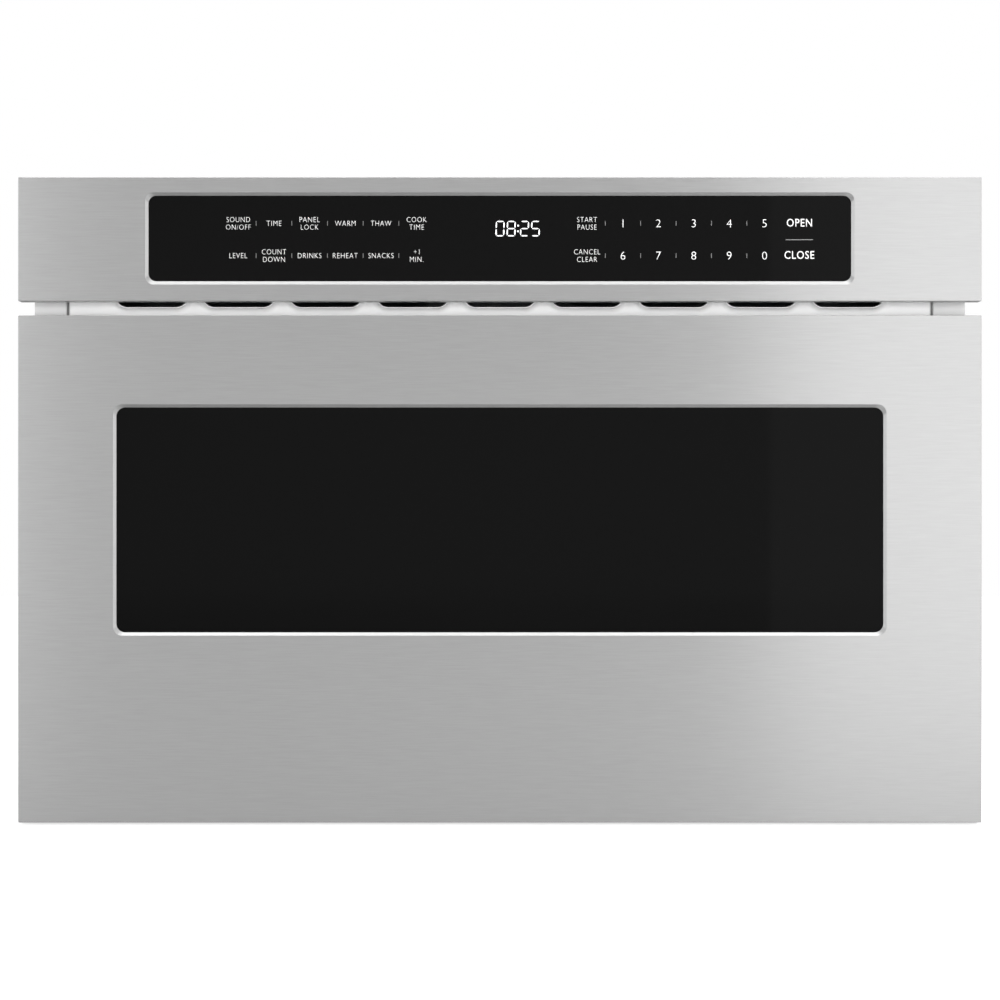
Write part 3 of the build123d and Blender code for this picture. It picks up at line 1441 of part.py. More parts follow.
def main():
    os.makedirs("parts", exist_ok=True)
    makers = {
        "base_pan": make_base_pan,
        "outer_case": make_outer_case,
        "rear_panel": make_rear_panel,
        "front_frame": make_front_frame,
        "mounting_flange_right": make_mounting_flange,
        "vent_strip": make_vent_strip,
        "oven_cavity": make_oven_cavity,
        "waveguide": make_waveguide,
        "stirrer_cover": make_stirrer_cover,
        "stirrer_blade": make_stirrer_blade,
        "stirrer_motor": make_stirrer_motor,
        "magnetron": make_magnetron,
        "transformer_core": make_transformer_core,
        "transformer_windings": make_transformer_windings,
        "high_voltage_capacitor": make_high_voltage_capacitor,
        "blower_housing": make_blower_housing,
        "blower_wheel": make_blower_wheel,
        "blower_motor": make_blower_motor,
        "oven_lamp": make_oven_lamp,
        "relay_board": make_relay_board,
        "noise_filter": make_noise_filter,
        "power_inlet_gland": make_power_inlet_gland,
        "interlock_key": make_interlock_key,
        "interlock_switches": make_interlock_switches,
        "control_fascia": make_control_fascia,
        "control_glass": make_control_glass,
        "panel_carrier": make_panel_carrier,
        "touch_board": make_touch_board,
        "display_module": make_display_module,
        "control_chassis": make_control_chassis,
        "drawer_front": make_drawer_front,
        "drawer_glass": make_drawer_glass,
        "glass_frame": make_glass_frame,
        "choke_frame": make_choke_frame,
        "choke_cover": make_choke_cover,
        "perforated_screen": make_perforated_screen,
        "inner_window": make_inner_window,
        "drawer_liner": make_drawer_liner,
        "drawer_bumpers": make_drawer_bumpers,
        "drawer_tub": make_drawer_tub,
        "ceramic_floor": make_ceramic_floor,
        "outer_rail_right": make_outer_rail,
        "middle_rail_right": make_middle_rail,
        "inner_rail_right": make_inner_rail,
        "glide_shoes_right": make_glide_shoes,
        "side_arm_right": make_side_arm,
        "rail_bracket_right": make_rail_bracket,
        "drive_rack": make_drive_rack,
        "drive_pinion": make_drive_pinion,
        "motor_bracket": make_motor_bracket,
        "gearbox": make_gearbox,
        "drive_motor": make_drive_motor,
        "case_screws": make_case_screws,
    }
    for name, make in makers.items():
        piece = make()
        save(name, piece)
        if name.endswith("_right"):
            save(name.replace("_right", "_left"), mirrored(piece))


main()
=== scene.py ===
import bmesh
import bpy
import json
from math import cos, pi, radians, sin
from mathutils import Matrix, Vector

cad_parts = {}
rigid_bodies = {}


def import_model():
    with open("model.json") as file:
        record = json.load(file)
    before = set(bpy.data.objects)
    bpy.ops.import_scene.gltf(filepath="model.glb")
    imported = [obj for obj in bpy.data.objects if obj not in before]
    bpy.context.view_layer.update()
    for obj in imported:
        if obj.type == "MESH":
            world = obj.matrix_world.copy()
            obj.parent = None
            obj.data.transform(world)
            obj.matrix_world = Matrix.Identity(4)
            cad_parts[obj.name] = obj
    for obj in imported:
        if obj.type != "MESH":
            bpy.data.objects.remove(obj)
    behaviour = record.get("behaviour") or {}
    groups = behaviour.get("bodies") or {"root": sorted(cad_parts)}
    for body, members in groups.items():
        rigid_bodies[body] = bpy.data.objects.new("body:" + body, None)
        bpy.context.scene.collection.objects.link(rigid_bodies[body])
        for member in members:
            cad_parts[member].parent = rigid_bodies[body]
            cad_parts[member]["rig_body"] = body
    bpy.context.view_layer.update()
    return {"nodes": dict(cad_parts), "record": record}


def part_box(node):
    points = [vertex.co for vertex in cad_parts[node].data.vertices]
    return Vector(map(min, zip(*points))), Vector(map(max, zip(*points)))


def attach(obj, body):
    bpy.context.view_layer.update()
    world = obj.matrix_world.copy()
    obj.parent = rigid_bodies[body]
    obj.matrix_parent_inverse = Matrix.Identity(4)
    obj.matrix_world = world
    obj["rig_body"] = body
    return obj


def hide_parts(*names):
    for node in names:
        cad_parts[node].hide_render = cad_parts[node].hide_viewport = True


# The looks of a built-in microwave drawer. Metres, +Z up, the front faces -Y.

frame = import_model()
nodes = frame["nodes"]
MM = 0.001
near = 0.01 * MM                  # what counts as the same place when parts are picked

# ------------------------------------------------------------------ sizes of the visible pieces
front_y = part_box("drawer_front")[0].y
edge_r = 0.5 * MM                 # rolled edges of the stainless fronts
skin_t = 1.2 * MM
turned_edge = 2.0 * MM            # window edges turned in at 45 degrees
drawer_window_r = 5.6 * MM
control_window_r = 5.0 * MM
# glass that the skin hides at the sides, below and above
drawer_glass_hidden = (7.7 * MM, 7.1 * MM, 8.0 * MM)
control_glass_hidden = (4.2 * MM, 3.7 * MM, 4.4 * MM)
corner_segments = 8
roll_segments = 5
lip_start = 0.2 * MM              # how far behind the front the turned-in edge begins
fine_edge = 0.25 * MM

vent_count = 9
vent_pitch = 55.1 * MM
vent_width = 46.4 * MM
vent_r = 8.1 * MM
vent_flare = 3.4 * MM             # what the rim spreads by, seen from the front
vent_reach = 4.5 * MM             # how far it stands forward of the strip
rim_t = 0.5 * MM
strip_t = 1.0 * MM
rim_sides = 32                    # flats round a rim before it is drawn out
rim_steps = 7                     # points along a rim's section
slit = 1.4 * MM                   # extra room at each end of the strip
vent_middle_z = 334.65 * MM

# ------------------------------------------------------------------ lettering on the control glass
print_t = 0.02 * MM
legend_cap = 3.2 * MM
digit_cap = 5.0 * MM
upper_row_z = 378.6 * MM
lower_row_z = 358.3 * MM
line_step = 4.75 * MM             # between the two lines of a legend
function_x = -164.6 * MM          # first column of functions
function_pitch = 22.45 * MM
start_x = 54.9 * MM
digit_x = 77.5 * MM
digit_pitch = 22.27 * MM
drawer_keys_x = 188.5 * MM
function_legends = (
    (("SOUND\nON/OFF", "TIME", "PANEL\nLOCK", "WARM", "THAW", "COOK\nTIME"), upper_row_z),
    (("LEVEL", "COUNT\nDOWN", "DRINKS", "REHEAT", "SNACKS", "+1\nMIN."), lower_row_z),
)


# ------------------------------------------------------------------ modelling helpers
def take_up(*pieces):
    """Selects these pieces alone; the last one is active."""
    bpy.ops.object.select_all(action="DESELECT")
    for piece in pieces:
        piece.select_set(True)
    bpy.context.view_layer.objects.active = pieces[-1]


def settle(piece):
    """Puts the piece's place into its mesh."""
    take_up(piece)
    bpy.ops.object.transform_apply(location=True, rotation=True, scale=True)
    return piece


def block(name, low, high):
    """Block between two corners."""
    low, high = Vector(low), Vector(high)
    bpy.ops.object.select_all(action="DESELECT")
    bpy.ops.mesh.primitive_cube_add(size=1, location=(low + high) / 2)
    piece = bpy.context.active_object
    piece.name = name
    piece.scale = high - low
    return settle(piece)


def pick(piece, kind, wanted):
    """Enters edit mode with the verts, edges or faces that pass a test selected."""
    take_up(piece)
    bpy.ops.object.mode_set(mode="EDIT")
    bpy.ops.mesh.select_mode(type=kind)
    bpy.ops.mesh.select_all(action="DESELECT")
    form = bmesh.from_edit_mesh(piece.data)
    form.normal_update()
    items = {"VERT": form.verts, "EDGE": form.edges, "FACE": form.faces}[kind]
    for item in items:
        item.select_set(bool(wanted(item)))
    form.select_flush_mode()
    bmesh.update_edit_mesh(piece.data)


def leave(piece):
    bpy.ops.object.mode_set(mode="OBJECT")
    return piece


def runs_along(edge, axis):
    """True where an edge is parallel to an axis, given as 0, 1 or 2."""
    way = edge.verts[1].co - edge.verts[0].co
    return abs(way[axis]) > 0.999 * way.length


def middle_of(edge):
    return (edge.verts[0].co + edge.verts[1].co) / 2


def worked(piece, kind, **settings):
    """Adds one modifier and applies it."""
    take_up(piece)
    modifier = piece.modifiers.new(kind.lower(), kind)
    for name, value in settings.items():
        setattr(modifier, name, value)
    bpy.ops.object.modifier_apply(modifier=modifier.name)
    return piece


def carve(piece, cutter, operation="DIFFERENCE"):
    """Takes a cutter out of a piece, or fuses it on, and throws the cutter away."""
    worked(piece, "BOOLEAN", operation=operation, object=cutter, solver="EXACT")
    bpy.data.objects.remove(cutter, do_unlink=True)
    return piece


def smooth(piece, angle=30):
    take_up(piece)
    bpy.ops.object.shade_smooth_by_angle(angle=radians(angle))
    return piece


def soften(piece, width=fine_edge, segments=2, angle=30):
    """Small rounds on every sharp edge, then smooth shading."""
    worked(piece, "BEVEL", width=width, segments=segments, limit_method="ANGLE",
           angle_limit=radians(angle), harden_normals=False)
    return smooth(piece, angle)


def join(name, pieces):
    take_up(*pieces)
    bpy.ops.object.join()
    piece = bpy.context.active_object
    piece.name = name
    return piece


def copy_of(piece, shift):
    """Copy with its own mesh, moved."""
    twin = piece.copy()
    twin.data = piece.data.copy()
    bpy.context.collection.objects.link(twin)
    twin.data.transform(Matrix.Translation(shift))
    return twin


def dress(piece, finish, body, slot, *stands_for):
    """Gives a finished piece its material and its body, and hides the nodes that it stands for."""
    piece.data.materials.clear()
    piece.data.materials.append(finish)
    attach(piece, body)
    if stands_for:
        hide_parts(*stands_for)
    return piece


# ------------------------------------------------------------------ material helpers
def principled(name, colour, metallic=0.0, roughness=0.5, **inputs):
    """Material with one shader; the sockets that stay the same all over are set on it."""
    finish = bpy.data.materials.new(name)
    finish.use_nodes = True
    shader = finish.node_tree.nodes["Principled BSDF"]
    shader.inputs["Base Color"].default_value = (*colour, 1)
    shader.inputs["Metallic"].default_value = metallic
    shader.inputs["Roughness"].default_value = roughness
    for socket, value in inputs.items():
        shader.inputs[socket.replace("_", " ")].default_value = value
    return finish, finish.node_tree, shader


def noise(tree, scale, stretch=(1, 1, 1), detail=4.0):
    """Noise in the object's own metres, stretched along its axes."""
    place = tree.nodes.new("ShaderNodeTexCoord")
    mapping = tree.nodes.new("ShaderNodeMapping")
    mapping.inputs["Scale"].default_value = stretch
    texture = tree.nodes.new("ShaderNodeTexNoise")
    texture.inputs["Scale"].default_value = scale
    texture.inputs["Detail"].default_value = detail
    tree.links.new(place.outputs["Object"], mapping.inputs["Vector"])
    tree.links.new(mapping.outputs["Vector"], texture.inputs["Vector"])
    return texture.outputs["Fac"]


def spread(tree, value, low, high):
    """Maps the middle of a noise to a range of values."""
    ranged = tree.nodes.new("ShaderNodeMapRange")
    ranged.inputs["From Min"].default_value = 0.3
    ranged.inputs["From Max"].default_value = 0.7
    ranged.inputs["To Min"].default_value = low
    ranged.inputs["To Max"].default_value = high
    tree.links.new(value, ranged.inputs["Value"])
    return ranged.outputs["Result"]


def tint(tree, shader, value, dark, light):
    """Base colour that wanders between two shades."""
    ramp = tree.nodes.new("ShaderNodeValToRGB")
    ramp.color_ramp.elements[0].position = 0.3
    ramp.color_ramp.elements[1].position = 0.7
    ramp.color_ramp.elements[0].color = (*dark, 1)
    ramp.color_ramp.elements[1].color = (*light, 1)
    tree.links.new(value, ramp.inputs["Fac"])
    tree.links.new(ramp.outputs["Color"], shader.inputs["Base Color"])


def relief(tree, shader, value, depth, strength=1.0):
    bump = tree.nodes.new("ShaderNodeBump")
    bump.inputs["Distance"].default_value = depth
    bump.inputs["Strength"].default_value = strength
    tree.links.new(value, bump.inputs["Height"])
    tree.links.new(bump.outputs["Normal"], shader.inputs["Normal"])


def grey(level):
    return (level, level, level)


# ------------------------------------------------------------------ finishes
def vary_roughness(tree, shader, value, roughness, by):
    """Roughness that wanders by a little on both sides of its level."""
    ranged = spread(tree, value, roughness - by, roughness + by)
    tree.links.new(ranged, shader.inputs["Roughness"])


def brushed_finish(name, level, stretch=(55, 500, 2600), roughness=0.32):
    """Stainless sheet with a fine horizontal brush."""
    finish, tree, shader = principled(name, grey(level), 1.0, roughness, Anisotropic=0.75,
                                      Anisotropic_Rotation=0.25)
    turn = tree.nodes.new("ShaderNodeTangent")
    turn.direction_type = "RADIAL"
    turn.axis = "Z"
    tree.links.new(turn.outputs["Tangent"], shader.inputs["Tangent"])
    grain = noise(tree, 1.0, stretch, 6.0)
    tint(tree, shader, grain, grey(level * 0.955), grey(level * 1.045))
    vary_roughness(tree, shader, grain, roughness, 0.03)
    relief(tree, shader, grain, 0.0015 * MM)
    return finish


def crystals(tree, size, blur):
    """Spangle of a zinc coat: cells of different greys, their edges blurred by a fine noise."""
    place = tree.nodes.new("ShaderNodeTexCoord")
    wander = tree.nodes.new("ShaderNodeTexNoise")
    wander.inputs["Scale"].default_value = 3 / size
    wander.inputs["Detail"].default_value = 2.0
    shift = tree.nodes.new("ShaderNodeVectorMath")
    shift.operation = "MULTIPLY_ADD"
    shift.inputs[1].default_value = (blur, blur, blur)
    cells = tree.nodes.new("ShaderNodeTexVoronoi")
    cells.inputs["Scale"].default_value = 1 / size
    split = tree.nodes.new("ShaderNodeSeparateColor")
    tree.links.new(place.outputs["Object"], wander.inputs["Vector"])
    tree.links.new(wander.outputs["Color"], shift.inputs[0])
    tree.links.new(place.outputs["Object"], shift.inputs[2])
    tree.links.new(shift.outputs["Vector"], cells.inputs["Vector"])
    tree.links.new(cells.outputs["Color"], split.inputs["Color"])
    return split.outputs["Red"]


def sheet_finish(name, level, roughness=0.42, spangle=4 * MM):
    """Zinc-coated sheet with a faint spangle."""
    finish, tree, shader = principled(name, grey(level), 0.9, roughness)
    cells = crystals(tree, spangle, spangle)
    tint(tree, shader, cells, grey(level * 0.96), grey(level * 1.04))
    vary_roughness(tree, shader, cells, roughness, 0.015)
    relief(tree, shader, noise(tree, 1200), 0.003 * MM)
    return finish


def painted_finish(name, colour, roughness=0.4):
    """Sprayed or enamelled sheet with a slight orange peel."""
    finish, tree, shader = principled(name, colour, 0.0, roughness)
    cloud = noise(tree, 9, detail=1.0)
    tint(tree, shader, cloud, tuple(c * 0.985 for c in colour), tuple(c * 1.015 for c in colour))
    vary_roughness(tree, shader, cloud, roughness, 0.01)
    relief(tree, shader, noise(tree, 700), 0.006 * MM)
    return finish


def moulded_finish(name, colour, roughness=0.5, grain_depth=0.02 * MM):
    """Moulded plastic with a fine spark texture."""
    finish, tree, shader = principled(name, colour, 0.0, roughness)
    dark, light = (tuple(c * share for c in colour) for share in (0.93, 1.05))
    tint(tree, shader, noise(tree, 25), dark, light)
    vary_roughness(tree, shader, noise(tree, 60), roughness, 0.06)
    relief(tree, shader, noise(tree, 1500), grain_depth)
    return finish


def black_glass_finish():
    """Black back-printed glass, almost without a reflection from the front."""
    finish, tree, shader = principled("black_glass", grey(0.0038), 0.0, 0.04,
                                      Specular_IOR_Level=0.03)
    tree.links.new(spread(tree, noise(tree, 8), 0.03, 0.06), shader.inputs["Roughness"])
    return finish


def clear_glass_finish():
    """Clear inner window with a faint cast."""
    finish, tree, shader = principled("clear_glass", (0.85, 0.9, 0.9), 0.0, 0.03,
                                      Transmission_Weight=0.9)
    tree.links.new(spread(tree, noise(tree, 10), 0.02, 0.05), shader.inputs["Roughness"])
    return finish


def print_finish(name, level):
    """Screen print on the glass."""
    finish, tree, shader = principled(name, grey(level), 0.0, 0.5)
    tint(tree, shader, noise(tree, 2000), grey(level * 0.94), grey(level * 1.05))
    return finish


def glow_finish():
    """Lit segments of the clock."""
    finish, tree, shader = principled("display_glow", grey(0.8), 0.0, 0.5)
    tint(tree, shader, noise(tree, 2000), grey(0.76), grey(0.84))
    shader.inputs["Emission Color"].default_value = (0.93, 0.97, 1, 1)
    shader.inputs["Emission Strength"].default_value = 0.6
    return finish


finishes = {
    "brushed_steel": brushed_finish("brushed_steel", 0.38),
    "galvanised": sheet_finish("galvanised", 0.31, 0.46),
    "painted_frame": painted_finish("painted_frame", grey(0.68), 0.35),
    "cavity_enamel": painted_finish("cavity_enamel", (0.4, 0.39, 0.37), 0.35),
    "black_glass": black_glass_finish(),
    "clear_glass": clear_glass_finish(),
    "ceramic_glass": painted_finish("ceramic_glass", (0.42, 0.42, 0.41), 0.15),
    "dark_plastic": moulded_finish("dark_plastic", grey(0.025)),
    "display": moulded_finish("display", grey(0.01), 0.25, 0.0),
    "board": moulded_finish("board", (0.02, 0.12, 0.05), 0.35, 0.01 * MM),
    "zinc_steel": sheet_finish("zinc_steel", 0.48, 0.36, 1 * MM),
    "motor_steel": sheet_finish("motor_steel", 0.42, 0.36, 1 * MM),
    "core_steel": sheet_finish("core_steel", 0.16, 0.5, 2 * MM),
    "winding": moulded_finish("winding", (0.35, 0.1, 0.03), 0.35, 0.05 * MM),
    "capacitor_can": sheet_finish("capacitor_can", 0.55, 0.28, 1 * MM),
    "white_plastic": moulded_finish("white_plastic", (0.75, 0.74, 0.7), 0.4),
    "mica": moulded_finish("mica", (0.6, 0.57, 0.5), 0.5),
    "stirrer_sheet": sheet_finish("stirrer_sheet", 0.6, 0.32, 1 * MM),
    "lamp": sheet_finish("lamp", 0.55, 0.35, 1 * MM),
    "rubber": moulded_finish("rubber", grey(0.02), 0.7),
}
# darker copy of the frame paint for the front frame: painted shade, so the plate stays below white
# where the front lamp lights it in full
frame_paint_painted_shade = painted_finish("frame_paint_painted_shade", grey(0.5), 0.4)
# lighter copy of the frame paint for the vent strip: painted light that brightens the strip where
# it sits in the shade of the gap
strip_paint_painted_light = painted_finish("strip_paint_painted_light", grey(0.86), 0.35)
print_white = print_finish("legend_print", 0.8)
print_grey = print_finish("tick_print", 0.2)
display_white = glow_finish()


def dress_cad_nodes():
    """Every CAD node gets its finish by the slot that the record gives it, except the front frame,
    which gets a darker copy of the frame paint as painted shade.
    """
    for subpart in frame["record"]["subparts"]:
        name = subpart["node"]
        # the front frame takes the darker copy of the frame paint, painted shade against the front
        # lamp
        finish = frame_paint_painted_shade if name == "front_frame" else finishes[subpart["material_slot"]]
        for holder in nodes[name].material_slots:
            holder.material = finish


# ------------------------------------------------------------------ stainless fronts
def window_block(name, window, radius, y_front, y_back, flare):
    """Block with rounded corners across a window, wider at the front by the flare."""
    low, high = window
    piece = block(name, (low.x, y_front, low.z), (high.x, y_back, high.z))
    pick(piece, "EDGE", lambda edge: runs_along(edge, 1))
    bpy.ops.mesh.bevel(offset=radius, segments=corner_segments, affect="EDGES")
    leave(piece)
    pick(piece, "VERT", lambda vert: vert.co.y < y_front + near)
    size = high - low
    middle = Vector(((low.x + high.x) / 2, y_front, (low.z + high.z) / 2))
    growth = ((size.x + 2 * flare) / size.x, 1, (size.z + 2 * flare) / size.z)
    bpy.ops.transform.resize(value=growth, center_override=middle)
    return leave(piece)


def front_skin(name, node, glass, glass_hidden, window_r):
    """Folded stainless front with rolled edges and a window edge turned in at 45 degrees."""
    low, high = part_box(node)
    skin = block(name, low, high)
    pick(skin, "EDGE", lambda edge: runs_along(edge, 1) or middle_of(edge).y < front_y + near)
    bpy.ops.mesh.bevel(offset=edge_r, segments=roll_segments, affect="EDGES")
    leave(skin)
    pick(skin, "FACE", lambda face: face.normal.y > 0.9)
    bpy.ops.mesh.delete(type="FACE")
    leave(skin)
    worked(skin, "SOLIDIFY", thickness=skin_t, offset=-1, use_even_offset=True)
    glass_low, glass_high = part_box(glass)
    sides, below, above = glass_hidden
    window = (glass_low + Vector((sides, 0, below)), glass_high - Vector((sides, 0, above)))
    back_y = front_y + turned_edge
    wall = Vector((skin_t * 1.414, 0, skin_t * 1.414))
    lip = window_block("lip", (window[0] - wall, window[1] + wall), window_r + wall.x,
                       front_y + lip_start, back_y, turned_edge - lip_start)
    carve(skin, lip, "UNION")
    opening = window_block("opening", window, window_r, front_y - 1 * MM, back_y + near,
                           turned_edge + 1.01 * MM)
    carve(skin, opening)
    soften(skin)
    return worked(skin, "WEIGHTED_NORMAL", keep_sharp=True)


# ------------------------------------------------------------------ vent strip
def rim_profile():
    """Section of a drawn rim as radius and depth: a curve forwards, then back inside the sheet."""
    strip_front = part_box("vent_strip")[1].y - strip_t
    root_r = vent_r + rim_t + vent_flare
    outer = []
    inner = []
    for step in range(rim_steps + 1):
        turn = pi / 2 * step / rim_steps
        outer.append((root_r - vent_flare * sin(turn), strip_front - vent_reach * (1 - cos(turn))))
        inner.append((root_r - (vent_flare + rim_t) * sin(turn),
                      strip_front + rim_t - (vent_reach + rim_t) * (1 - cos(turn))))
    return outer + inner[::-1]


def vent_rim():
    """One bell-mouthed rim, spun round and then drawn out to its length."""
    half_straight = vent_width / 2 - vent_r
    bpy.ops.object.select_all(action="DESELECT")
    profile = bpy.data.meshes.new("vent_rim")
    points = [(radius, y, 0) for radius, y in rim_profile()]
    profile.from_pydata(points, [(i, (i + 1) % len(points)) for i in range(len(points))], [])
    rim = bpy.data.objects.new("vent_rim", profile)
    bpy.context.collection.objects.link(rim)
    pick(rim, "VERT", lambda vert: True)
    bpy.ops.mesh.spin(steps=rim_sides, angle=2 * pi, center=(0, 0, 0), axis=(0, 1, 0),
                      use_auto_merge=True)
    bpy.ops.mesh.select_all(action="SELECT")
    bpy.ops.mesh.remove_doubles(threshold=near)
    leave(rim)
    rim.data.transform(Matrix.Rotation(pi / rim_sides, 4, "Y"))
    for side in (-1, 1):
        pick(rim, "VERT", lambda vert: vert.co.x * side > 0)
        bpy.ops.transform.translate(value=(side * half_straight, 0, 0))
        leave(rim)
    pick(rim, "FACE", lambda face: True)
    bpy.ops.mesh.normals_make_consistent(inside=False)
    leave(rim)
    rim.data.transform(Matrix.Translation((0, 0, vent_middle_z)))
    return rim


def vent_strip():
    """Sheet strip behind the gap with its row of drawn vent slots."""
    low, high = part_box("vent_strip")
    strip_front = high.y - strip_t
    strip = block("vent_sheet", (low.x + slit, strip_front, low.z),
                  (high.x - slit, high.y, high.z))
    root = vent_r + rim_t + vent_flare
    half_straight = vent_width / 2 - vent_r
    rim = vent_rim()
    rims = []
    for place in range(vent_count):
        x = (place - (vent_count - 1) / 2) * vent_pitch
        rims.append(copy_of(rim, (x, 0, 0)))
        bpy.ops.object.select_all(action="DESELECT")
        bpy.ops.mesh.primitive_cylinder_add(vertices=rim_sides, radius=root, depth=4 * strip_t,
                                            rotation=(pi / 2, 0, 0))
        cutter = settle(bpy.context.active_object)
        cutter.data.transform(Matrix.Rotation(pi / rim_sides, 4, "Y"))
        for side in (-1, 1):
            pick(cutter, "VERT", lambda vert: vert.co.x * side > 0)
            bpy.ops.transform.translate(value=(side * half_straight, 0, 0))
            leave(cutter)
        cutter.data.transform(Matrix.Translation((x, strip_front + strip_t / 2, vent_middle_z)))
        carve(strip, cutter)
    bpy.data.objects.remove(rim, do_unlink=True)
    piece = join("vent_sheet", rims + [strip])
    return smooth(piece, 35)


# ------------------------------------------------------------------ screws and softened parts
def screw_heads(node):
    """Middle and half size of every loose head in a node."""
    form = bmesh.new()
    form.from_mesh(nodes[node].data)
    bmesh.ops.remove_doubles(form, verts=form.verts, dist=0.001 * MM)
    left = set(form.verts)
    while left:
        waiting = [left.pop()]
        head = []
        while waiting:
            vert = waiting.pop()
            head.append(vert.co.copy())
            for edge in vert.link_edges:
                other = edge.other_vert(vert)
                if other in left:
                    left.remove(other)
                    waiting.append(other)
        low = Vector([min(point[axis] for point in head) for axis in range(3)])
        high = Vector([max(point[axis] for point in head) for axis in range(3)])
        yield (low + high) / 2, (high - low) / 2
    form.free()


def pan_head(radius, height):
    """Domed screw head with a cross recess, its top towards +Z."""
    bpy.ops.object.select_all(action="DESELECT")
    bpy.ops.mesh.primitive_cylinder_add(vertices=32, radius=radius, depth=height)
    head = bpy.context.active_object
    pick(head, "EDGE", lambda edge: middle_of(edge).z > 0.49 * height)
    bpy.ops.mesh.bevel(offset=0.62 * height, segments=5, affect="EDGES")
    leave(head)
    arm = (0.55 * radius, 0.13 * radius)
    for reach in (arm, arm[::-1]):
        carve(head, block("recess", (-reach[0], -reach[1], 0), (reach[0], reach[1], height)))
    return soften(head, 0.06 * MM)


def case_screws():
    """A head on every place of the case's screws; those of the vent strip face forwards."""
    heads = []
    places = sorted(screw_heads("case_screws"), key=lambda place: tuple(place[0]))
    radius = max(places[0][1].x, places[0][1].z)
    model = pan_head(radius, 2 * places[0][1].y)
    for middle, half in places:
        turn = Matrix.Rotation(pi / 2 if middle.y < 0 else -pi / 2, 4, "X")
        twin = copy_of(model, (0, 0, 0))
        twin.data.transform(Matrix.Translation(middle) @ turn)
        heads.append(twin)
    bpy.data.objects.remove(model, do_unlink=True)
    return join("screw_heads", heads)


softened_nodes = {
    "outer_case": 0.4 * MM, "rear_panel": 0.2 * MM, "base_pan": 0.3 * MM, "front_frame": 0.3 * MM,
    "mounting_flange_left": 0.3 * MM, "mounting_flange_right": 0.3 * MM,
    "power_inlet_gland": 0.4 * MM, "drawer_tub": 0.4 * MM, "drawer_liner": 0.4 * MM,
    "choke_frame": 0.3 * MM, "choke_cover": 0.3 * MM,
    "outer_rail_left": 0.2 * MM, "outer_rail_right": 0.2 * MM, "middle_rail_left": 0.2 * MM,
    "middle_rail_right": 0.2 * MM, "inner_rail_left": 0.2 * MM, "inner_rail_right": 0.2 * MM,
    "side_arm_left": 0.2 * MM, "side_arm_right": 0.2 * MM,
}


def refined(node, width):
    """The node's own surface with its flat faces made whole and small rounds on its edges."""
    piece = bpy.data.objects.new(f"{node}_softened", nodes[node].data.copy())
    bpy.context.collection.objects.link(piece)
    take_up(piece)
    bpy.ops.mesh.customdata_custom_splitnormals_clear()
    pick(piece, "VERT", lambda vert: True)
    bpy.ops.mesh.remove_doubles(threshold=0.001 * MM)
    bpy.ops.mesh.dissolve_limited(angle_limit=radians(0.5))
    leave(piece)
    soften(piece, width)
    worked(piece, "WEIGHTED_NORMAL", keep_sharp=True)
    finish = piece.data.materials[0]
    body = nodes[node]["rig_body"]
    slots = {subpart["node"]: subpart["material_slot"] for subpart in frame["record"]["subparts"]}
    return dress(piece, finish, body, slots[node], node)


# ------------------------------------------------------------------ lettering
def lettering(text, cap, x, z, weight=-0.018, narrow=0.84):
    """One line of print with capitals of a given height, centred on a place."""
    bpy.ops.object.select_all(action="DESELECT")
    bpy.ops.object.text_add()
    piece = bpy.context.active_object
    piece.data.body = text
    piece.data.align_x = "CENTER"
    piece.data.resolution_u = 3
    piece.data.offset = weight
    piece.data.space_character = 1.12
    piece.data.size = 1.0
    bpy.ops.object.convert(target="MESH")
    points = [vert.co for vert in piece.data.vertices]
    tall = max(p.y for p in points) - min(p.y for p in points)
    middle = Vector((max(p.x for p in points) + min(p.x for p in points),
                     max(p.y for p in points) + min(p.y for p in points), 0)) / 2
    size = cap / tall
    shrink = Matrix.Diagonal((size * narrow, size, 1, 1))
    piece.data.transform(shrink @ Matrix.Translation(-middle))
    worked(piece, "SOLIDIFY", thickness=print_t, offset=1)
    glass_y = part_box("control_glass")[0].y
    piece.data.transform(Matrix.Translation((x, glass_y, z)) @ Matrix.Rotation(pi / 2, 4, "X"))
    return piece


def tick(x, z, width, height):
    """Small printed bar."""
    glass_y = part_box("control_glass")[0].y
    return block("tick", (x - width / 2, glass_y - print_t, z - height / 2),
                 (x + width / 2, glass_y, z + height / 2))


def control_legends():
    """Functions, digits and the two drawer keys, and the fine ticks between them."""
    printed = []
    ticks = []
    for legends, z in function_legends:
        for column, legend in enumerate(legends):
            x = function_x + column * function_pitch
            lines = legend.split("\n")
            for row, line in enumerate(lines):
                line_z = z + ((len(lines) - 1) / 2 - row) * line_step
                printed.append(lettering(line, legend_cap, x, line_z))
            if column:
                ticks.append(tick(x - function_pitch / 2, z, 0.3 * MM, 2.9 * MM))
    for lines, z in ((("START", "PAUSE"), upper_row_z), (("CANCEL", "CLEAR"), lower_row_z)):
        for row, line in enumerate(lines):
            printed.append(lettering(line, legend_cap, start_x, z + (0.5 - row) * line_step))
    for step in range(10):
        x = digit_x + (step % 5) * digit_pitch
        z = upper_row_z if step < 5 else lower_row_z
        printed.append(lettering(str((step + 1) % 10), digit_cap, x, z, -0.016, 1.0))
        ticks.append(tick(x - digit_pitch / 2, z, 0.3 * MM, 2.9 * MM))
    printed.append(lettering("OPEN", digit_cap, drawer_keys_x, upper_row_z + 0.4 * MM, 0.004))
    printed.append(lettering("CLOSE", digit_cap, drawer_keys_x, lower_row_z + 0.4 * MM, 0.004))
    ticks.append(tick(drawer_keys_x, 368.3 * MM, 17.2 * MM, 0.4 * MM))
    return join("control_legends", printed), join("legend_ticks", ticks)


